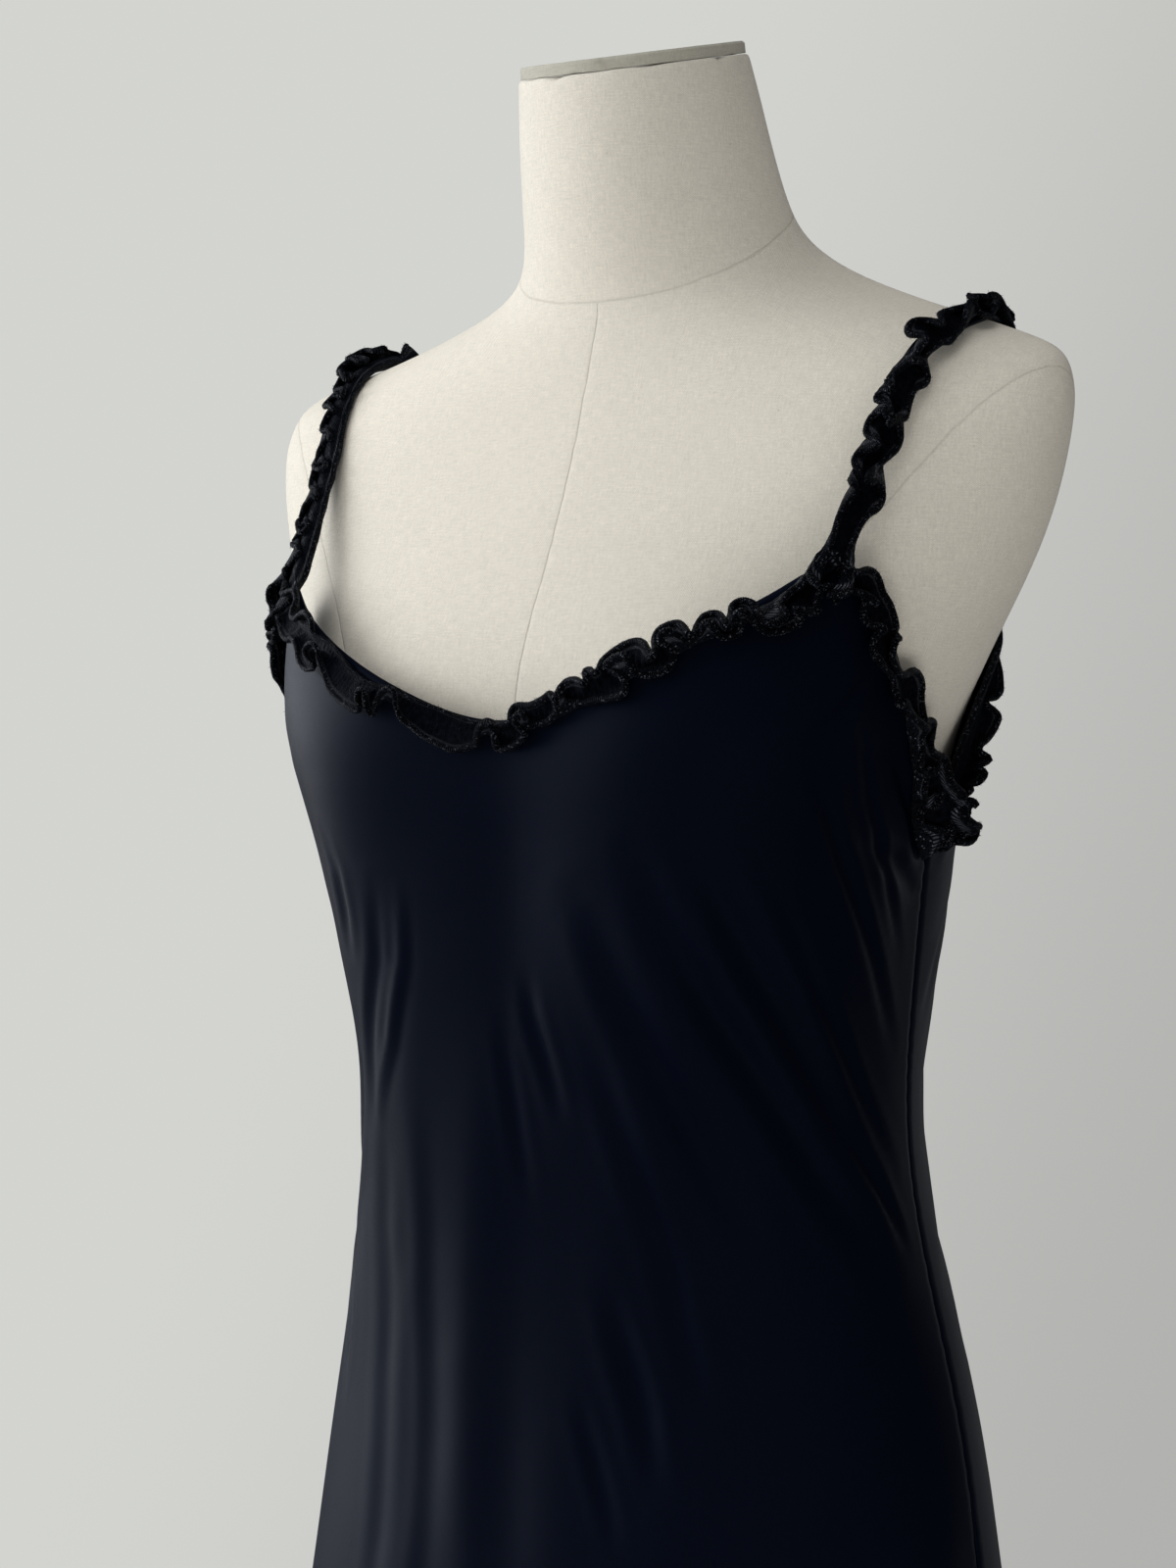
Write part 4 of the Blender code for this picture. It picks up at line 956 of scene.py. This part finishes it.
def gathered(rows, ends, reach, seam_end):
    """How far a free edge has run at each place on the seam, its gathers shared out."""
    even = np.arange(0, ends[-1], 1.0)
    there = np.interp(even, ends, spline(rows)[:, 0])
    spread = np.exp(-np.linspace(-2.2, 2.2, 2 * GATHER_SPREAD + 1) ** 2)
    padded = np.concatenate([2 * there[0] - there[GATHER_SPREAD:0:-1], there,
                             2 * there[-1] - there[-2:-GATHER_SPREAD - 2:-1]])
    shared = np.maximum.accumulate(np.convolve(padded, spread / spread.sum(), "valid"))
    shared += np.arange(len(shared)) * 1e-4
    first, end = shared[0], shared[-1]
    return np.interp(reach, (shared - first) / (end - first) * seam_end, even)


def flap(root, edge, rise, face, at, sign):
    """Rows of points from the stitching to a free edge, finely pleated by the stitching."""
    span = np.linalg.norm(edge - root, axis=1)[:, None]
    climb, stand, onward = FLAP_BEND
    elbow = root + rise * sign * span * climb + face * stand + (edge - root) * onward
    steps = []
    for k in range(1, FLAP_STEPS + 1):
        v = k / FLAP_STEPS
        spot = root * (1 - v) ** 2 + elbow * 2 * v * (1 - v) + edge * v ** 2
        fold = np.sin(at * 2 * np.pi / PLEATS[sign] + sign) * PLEAT_DEPTH * v * (1 - v) ** 1.5
        steps.append(spot + face * fold[:, None])
    return steps


def square_to(ways, axis):
    """Directions turned square to another direction."""
    return unit(ways - axis * np.sum(ways * axis, axis=1)[:, None])


def fray(roll, fat, length, pick, start):
    """Tufts of pile round a rolled edge: their points, and faces that count from start."""
    edge, away, lift = roll
    points, faces = [], []
    for _ in range(int(length / FRAY_SPACING)):
        k = pick.randint(1, len(edge) - 1)
        turn = pick.uniform(-FRAY_TURN, FRAY_TURN)
        way_out = away[k] * math.cos(turn) + lift[k] * math.sin(turn)
        lean = unit(edge[k] - edge[k - 1])
        foot = edge[k] + way_out * fat[k] * 0.9 + lean * pick.uniform(-0.5, 0.5)
        aim = unit(way_out + lean * pick.uniform(-0.9, 0.9) + pick.uniform(-0.35, 0.35, 3))
        side = unit(np.cross(aim, lean))
        tip = foot + aim * pick.uniform(*FRAY_LENGTH)
        a = start + len(points)
        points += [foot + lean * FRAY_HALF, foot - lean * FRAY_HALF * 0.5 + side * FRAY_HALF,
                   foot - lean * FRAY_HALF * 0.5 - side * FRAY_HALF, tip]
        faces += [(a, a + 1, a + 3), (a + 1, a + 2, a + 3), (a + 2, a, a + 3), (a, a + 2, a + 1)]
    return points, faces


def ruffle(name, seam, upper, lower, sheets, seed, rolls_at):
    """A gathered strip with a rolled edge on both sides and its fray; also its flat size."""
    seam_end = len(seam[0]) - 1
    edges = {1: edge_in_place(upper, seam), -1: edge_in_place(lower, seam)}
    reach = np.arange(0, seam_end, 0.1)
    runs = {1: gathered(upper, edges[1][1], reach, seam_end),
            -1: gathered(lower, edges[-1][1], reach, seam_end)}
    travel = runs[1] + runs[-1]
    count = int(travel[-1] / 2 / SECTION_STEP)
    at = np.interp(np.linspace(0, travel[-1], count), travel, reach)
    run_at = {sign: np.interp(at, reach, runs[sign]) for sign in runs}
    root, _, face, rise = (between(values, at) for values in seam)
    root = root + face * (SEAM_GAP + STRIP_HALF_WALL)
    flaps = {}
    for sign, (curve, ends) in edges.items():
        flaps[sign] = flap(root, points_at(run_at[sign], ends, curve), rise, face, at, sign)
    grid = np.stack(flaps[-1][::-1] + [root] + flaps[1], axis=1)
    fat = {1: np.interp(at, *zip(*rolls_at["upper"])), -1: np.interp(at, *zip(*rolls_at["lower"]))}
    last = grid.shape[1] - 1
    if sheets:
        for j in range(last + 1):
            radius = fat[1] if j else fat[-1]
            rim = j in (0, last)
            clear = radius + ROLL_CLEAR if rim else np.full(count, STRIP_HALF_WALL + STRIP_CLEAR)
            grid[:, j] = clear_of(grid[:, j], sheets, clear)
    normal = unit(np.cross(np.gradient(grid, axis=0), np.gradient(grid, axis=1)))
    if np.mean(np.sum(normal[:, FLAP_STEPS] * face, axis=1)) < 0:
        normal = -normal

    loops, marks, rolls = [], [], {}
    for j, sign in ((last, 1), (0, -1)):
        edge = grid[:, j]
        tangent = unit(np.gradient(edge, axis=0))
        away = square_to(edge - grid[:, j - 2 * sign], tangent)
        lift = square_to(square_to(normal[:, j], tangent), away)
        rolls[sign] = (edge, away, lift)
        for turn in np.radians(np.linspace(ROLL_ARC, -ROLL_ARC, ROLL_STEPS) * sign):
            loops.append(edge + (away * math.cos(turn) + lift * math.sin(turn))
                         * fat[sign][:, None])
            marks.append((sign * 1.0, 0.5 - 0.5 * math.sin(turn), 1.0))
        for i in range(last - 1, 0, -1) if sign > 0 else range(1, last):
            v = (i - FLAP_STEPS) / FLAP_STEPS
            wall = STRIP_HALF_WALL * (1.5 if abs(v) > 0.8 else 1.0)
            loops.append(grid[:, i] - normal[:, i] * wall * sign)
            marks.append((v, 1.0 if sign > 0 else 0.0, 0.0))
    across = len(loops)
    points = list(np.stack(loops, axis=1).reshape(-1, 3))
    swept = len(points)
    faces = []
    for k in range(count - 1):
        for j in range(across):
            a, b = k * across + j, k * across + (j + 1) % across
            faces.append((a, b, b + across, a + across))
    faces.append(tuple(range(across - 1, -1, -1)))
    faces.append(tuple((count - 1) * across + j for j in range(across)))
    pick = np.random.RandomState(seed)
    for sign in (1, -1):
        tufts, spikes = fray(rolls[sign], fat[sign], edges[sign][1][-1], pick, len(points))
        points += tufts
        faces += spikes
    mesh = bpy.data.meshes.new(name)
    mesh.from_pydata([tuple(p / 1000) for p in points], [], faces)

    marks = np.array(marks)
    share = np.abs(marks[:, 0])
    run = np.where(marks[:, 0] > 0, run_at[1][:, None], run_at[-1][:, None])
    length_at = (run * share + at[:, None] * (1 - share)) / 1000
    index = np.zeros(len(mesh.loops), dtype=int)
    mesh.loops.foreach_get("vertex_index", index)
    on_strip = index < swept
    strip_uv = np.tile((0.0, 1.0), (len(index), 1))
    finish_uv = strip_uv.copy()
    strip_uv[on_strip, 0] = length_at.ravel()[index[on_strip]]
    strip_uv[on_strip, 1] = marks[index[on_strip] % across, 0]
    finish_uv[on_strip] = marks[index[on_strip] % across, 1:]
    for label, flat in (("strip", strip_uv), ("finish", finish_uv)):
        mesh.uv_layers.new(name=label).data.foreach_set("uv", flat.ravel())
    for polygon in mesh.polygons:
        polygon.use_smooth = True
    made = bpy.data.objects.new(name, mesh)
    bpy.context.collection.objects.link(made)
    choose(made)
    bpy.ops.object.mode_set(mode="EDIT")
    bpy.ops.mesh.select_all(action="SELECT")
    bpy.ops.mesh.normals_make_consistent(inside=False)
    bpy.ops.object.mode_set(mode="OBJECT")
    cut_length = max(ends[-1] for _, ends in edges.values()) / 1000
    cut_width = sum(polygon.area for polygon in mesh.polygons) / 2 / cut_length
    return made, (round(cut_width, 4), round(cut_length, 3))


velvet, tree, shader = new_material(
    "black velvet", 0.55, sheen=0.018, sheen_roughness=0.3, sheen_tint=(0.6, 0.68, 0.95, 1),
    specular=0.13, specular_tint=(0.62, 0.76, 1.0, 1))
flats = []
for label in ("strip", "finish"):
    laid = node(tree, "ShaderNodeUVMap", uv_map=label).outputs[0]
    flats.append(node(tree, "ShaderNodeSeparateXYZ", {"Vector": laid}).outputs)
strip, finish = flats
place = node(tree, "ShaderNodeTexCoord").outputs["Object"]
on_roll = ramp(tree, finish[1], 0.35, 0.65)
ribs = sums(tree, "SINE", times(tree, strip[0], 2 * math.pi / RIB_PITCH))
inner_edge = sums(tree, "ABSOLUTE", strip[1])
# a fine lighter thread beside each roll, painted lighter still as the highlight along the roll's edge
thread_with_painted_highlight = times(tree, ramp(tree, inner_edge, 0.74, 0.80),
                    sums(tree, "SUBTRACT", 1.0, ramp(tree, inner_edge, 0.86, 0.94)))
dashes = sums(tree, "SINE", times(tree, strip[0], 2 * math.pi / DASH_PITCH))
thread_with_painted_highlight = times(tree, thread_with_painted_highlight, ramp(tree, dashes, -0.4, 0.3))
pile = noise(tree, place, 420.0, 4.0, 0.7)
fuzz = noise(tree, place, 1500.0, 2.0)
glint_specks_noise = noise(tree, place, 1150.0, 1.0)
fleck = scattered(tree, place, 1100.0, 0.42, 0.90)
back_side = times(tree, finish[0], sums(tree, "SUBTRACT", 1.0, on_roll))
nap = blend_colours(tree, ramp(tree, pile, 0.35, 0.75), (0.0008, 0.0011, 0.0026, 1),
                    (0.0052, 0.0060, 0.0105, 1))
reverse = blend_colours(tree, ramp(tree, fuzz, 0.45, 0.75), (0.0022, 0.0026, 0.0042, 1),
                        (0.015, 0.017, 0.024, 1))
# painted light and shade: the rib crests are painted lighter as highlights and the hollows between the
# ribs darker as shade
ribs_painted_lit_and_shaded = blend_colours(tree, ramp(tree, ribs, -0.3, 0.9), (0.0006, 0.0007, 0.0014, 1),
                       (0.0050, 0.0056, 0.0084, 1))
# painted glints: light specks painted on the rolls stand in for glints on their bristle
roll_with_painted_glints = blend_colours(tree, ramp(tree, glint_specks_noise, 0.63, 0.72), ribs_painted_lit_and_shaded, (0.082, 0.090, 0.115, 1))
toned = blend_colours(tree, on_roll, blend_colours(tree, back_side, nap, reverse), roll_with_painted_glints)
thread_and_highlight_painted = blend_colours(tree, times(tree, thread_with_painted_highlight, 0.7), toned, (0.095, 0.102, 0.125, 1))
flecked_where = times(tree, fleck, sums(
    tree, "MAXIMUM", sums(tree, "MAXIMUM", thread_with_painted_highlight, times(tree, on_roll, 0.35)),
    times(tree, back_side, 0.6)))
speckled = blend_colours(tree, flecked_where, thread_and_highlight_painted, (0.20, 0.22, 0.27, 1))
relief = times(tree, times(tree, ribs, on_roll), 0.5, times(
    tree, fuzz, 1.4, times(tree, thread_with_painted_highlight, 0.8, pile)))
finish_surface(tree, shader, speckled, None, relief, 0.0008, 1.0)


def resized(rows, length, sides=1.0):
    """Listed rows fitted to another stitching line."""
    rows = np.array(rows, dtype=float)
    rows[:, 0] *= length / rows[:, 0].max()
    rows[:, 1] *= sides
    return rows


def free_edges(source, length, seed):
    """The rows of a panel ruffle's upper and lower free edges, fitted to its stitching."""
    if source == "neckline_ruffle_front":
        return resized(NECK_UPPER, length), resized(NECK_LOWER, length)
    if source == "armhole_ruffle_front_left":
        return resized(ARM_OUTER, length), resized(ARM_INNER, length)
    if source == "armhole_ruffle_front_right":
        outer = [row for row in ARM_OUTER if row[0] < FAR_ARM_FROM] + FAR_ARM_TOP
        return resized(outer, length, 0.9), resized(ARM_INNER, length, 0.95)
    if source == "armhole_ruffle_back_left":
        return resized(BACK_ARM_OUTER, length), resized(BACK_ARM_INNER, length)
    waves, high, low, far = EVEN_LOOPS[source]
    upper = looping_edge(length, waves, high, low, far * 0.34, far, 0.0, 2.3 + 0.1 * seed)
    lower = looping_edge(length, waves, high, low, far * 0.26, far * 1.05, 0.5, 1.9 + 0.07 * seed)
    lower[:, 1] *= -1
    return upper, lower


PANEL_RUFFLES = [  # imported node, panel, from and to in degrees from a side seam, wearer's left
    ("neckline_ruffle_front", "dress_front", 32.5, 147.5, True),
    ("neckline_ruffle_back", "dress_back", 31.0, 149.0, True),
    ("armhole_ruffle_front_left", "dress_front", 1.0, 30.5, True),
    ("armhole_ruffle_back_left", "dress_back", 1.0, 29.0, True),
    ("armhole_ruffle_front_right", "dress_front", 1.0, 30.5, False),
    ("armhole_ruffle_back_right", "dress_back", 1.0, 29.0, False),
]
sheets = [sheet for _, sheet in upper_edges.values()]
for seed, (source, carrier, start, end, left) in enumerate(PANEL_RUFFLES, 3):
    seam = panel_seam(*upper_edges[carrier], start, end, left)
    upper, lower = free_edges(source, len(seam[0]) - 1.0, seed)
    kind = NECK_ROLLS if source == "neckline_ruffle_front" else THICK_ROLLS
    made, cut = ruffle(source.replace("ruffle", "trim"), seam, upper, lower, sheets, seed, kind)
    made.data.materials.append(velvet)
    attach(made, "root")
    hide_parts(source)

for word in ("left", "right"):
    seam = strap_seam(*strap_rings[word])
    length = len(seam[0]) - 1.0
    near, far = (STRAP_NECK_SIDE, STRAP_ARM_SIDE), (FAR_STRAP_NECK_SIDE, FAR_STRAP_ARM_SIDE)
    half = length / 2 if word == "left" else FAR_STRAP_FRONT
    front_half = [resized(rows, half) for rows in near] if word == "left" else far
    sides = []
    for first, rows in zip(front_half, near):
        rest = [row for row in rows if row[0] > STRAP_BACK_FROM]
        rest = resized(rest, length - half, 0.9)[::-1]
        rest[:, 0] = length - half - rest[:, 0]
        sides.append(np.concatenate([first, rest + (half, 0, 0)]))
    neck_side, arm_side = sides
    made, cut = ruffle(f"strap_trim_{word}", seam, arm_side, neck_side, [], 11, STRAP_ROLLS)
    made.data.materials.append(velvet)
    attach(made, "root")
    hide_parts(f"strap_ruffle_{word}")


# ---- Floor, light and camera ---------------------------------------------------
# A plain pale floor under soft daylight from one side, as beside a large window. The
# camera stands in front at the height of the chest, round towards the wearer's left.
BACKDROP_SHADE_WAY = (0.858, 0.513, -0.42)  # the backdrop is painted a little darker this way, as shade away from the window
bpy.ops.object.select_all(action="DESELECT")
bpy.ops.mesh.primitive_circle_add(vertices=96, radius=2.5, fill_type="NGON", location=(0, 0, -0.0005))
floor = bpy.context.object
floor.name = "floor"
pale, tree, shader = new_material("pale floor", 0.7)
place = node(tree, "ShaderNodeTexCoord").outputs["Object"]
cloud = noise(tree, place, 3.0, 3.0)
cast = blend_colours(tree, cloud, (0.60, 0.60, 0.585, 1), (0.63, 0.63, 0.615, 1))
finish_surface(tree, shader, cast)
floor.data.materials.append(pale)
floor.visible_glossy = False

world = bpy.data.worlds.new("studio")
bpy.context.scene.world = world
world.use_nodes = True
tree = world.node_tree
tree.nodes.clear()
way = node(tree, "ShaderNodeTexCoord").outputs["Generated"]
to_right = node(tree, "ShaderNodeVectorMath", {0: way, 1: BACKDROP_SHADE_WAY},
                operation="DOT_PRODUCT").outputs["Value"]
# painted shade: the backdrop seen by the camera is painted darker away from the window light
backdrop_with_painted_shade = blend_colours(tree, ramp(tree, to_right, -0.09, 0.266), (0.652, 0.659, 0.630, 1),
                       (0.440, 0.440, 0.428, 1))
seen = node(tree, "ShaderNodeBackground", {"Color": backdrop_with_painted_shade, "Strength": 1.0})
fill = node(tree, "ShaderNodeBackground", {"Color": (1.0, 0.965, 0.90, 1), "Strength": 0.22})
dark = node(tree, "ShaderNodeBackground", {"Color": (0.45, 0.62, 1.0, 1), "Strength": 0.02})
path = node(tree, "ShaderNodeLightPath").outputs
unseen = node(tree, "ShaderNodeMixShader", {0: path["Is Glossy Ray"], 1: fill.outputs[0],
                                            2: dark.outputs[0]})
chosen = node(tree, "ShaderNodeMixShader", {0: path["Is Camera Ray"], 1: unseen.outputs[0],
                                            2: seen.outputs[0]})
node(tree, "ShaderNodeOutputWorld", {0: chosen.outputs[0]})

LIGHTS = [  # name, place, where it points, size, watts, colour, lights diffusely, shows in gloss
    ("window", (-2.60, -1.45, 1.80), (0.0, 0.0, 1.15), (2.6, 2.2), 76.0, (1.0, 0.99, 0.96),
     True, False),
    ("window_gleam", (-2.85, -0.20, 1.78), (0.0, 0.0, 1.15), (2.6, 2.0), 62.0, (0.96, 0.98, 1.0),
     False, True),
    ("back_gleam", (0.6, 2.9, 1.1), (0.0, 0.0, 1.0), (1.8, 2.0), 4.5, (0.96, 0.98, 1.0),
     False, True),
    ("ceiling", (-0.3, -0.5, 3.4), (0.0, 0.0, 1.2), (2.6, 2.2), 24.0, (1.0, 0.975, 0.93),
     True, False),
    ("front_wall", (-0.6, -3.2, 1.2), (0.0, 0.0, 1.1), (3.2, 2.6), 18.0, (1.0, 0.98, 0.93),
     True, False),
    ("floor_bounce", (1.0, -1.0, 0.36), (0.15, -0.05, 1.36), (1.3, 0.6), 7.2, (1.0, 0.96, 0.90),
     True, False),
    ("side_wall", (2.6, 0.9, 1.3), (0.0, 0.0, 1.1), (1.4, 2.4), 0.3, (1.0, 0.96, 0.90),
     True, True),
]
for name, spot_at, aim_at, size, power, colour, diffusely, in_gloss in LIGHTS:
    lamp = bpy.data.lights.new(name, "AREA")
    lamp.shape = "RECTANGLE"
    lamp.size, lamp.size_y = size
    lamp.energy = power
    lamp.color = colour
    holder = bpy.data.objects.new(name, lamp)
    bpy.context.collection.objects.link(holder)
    holder.location = spot_at
    holder.rotation_euler = (Vector(aim_at) - Vector(spot_at)).to_track_quat("-Z", "Y").to_euler()
    holder.visible_diffuse = diffusely
    holder.visible_glossy = in_gloss

camera = bpy.data.objects.new("camera", bpy.data.cameras.new("camera"))
bpy.context.collection.objects.link(camera)
camera.data.sensor_width = 36.0
camera.data.lens = 80.1
camera.data.clip_start = 0.05
camera.data.clip_end = 50.0
camera.location = (0.7745, -1.3415, 1.178)
camera.rotation_euler = (math.radians(90.2575), 0.0, math.radians(30.885))
bpy.context.scene.camera = camera
bpy.context.scene.view_settings.view_transform = "Standard"
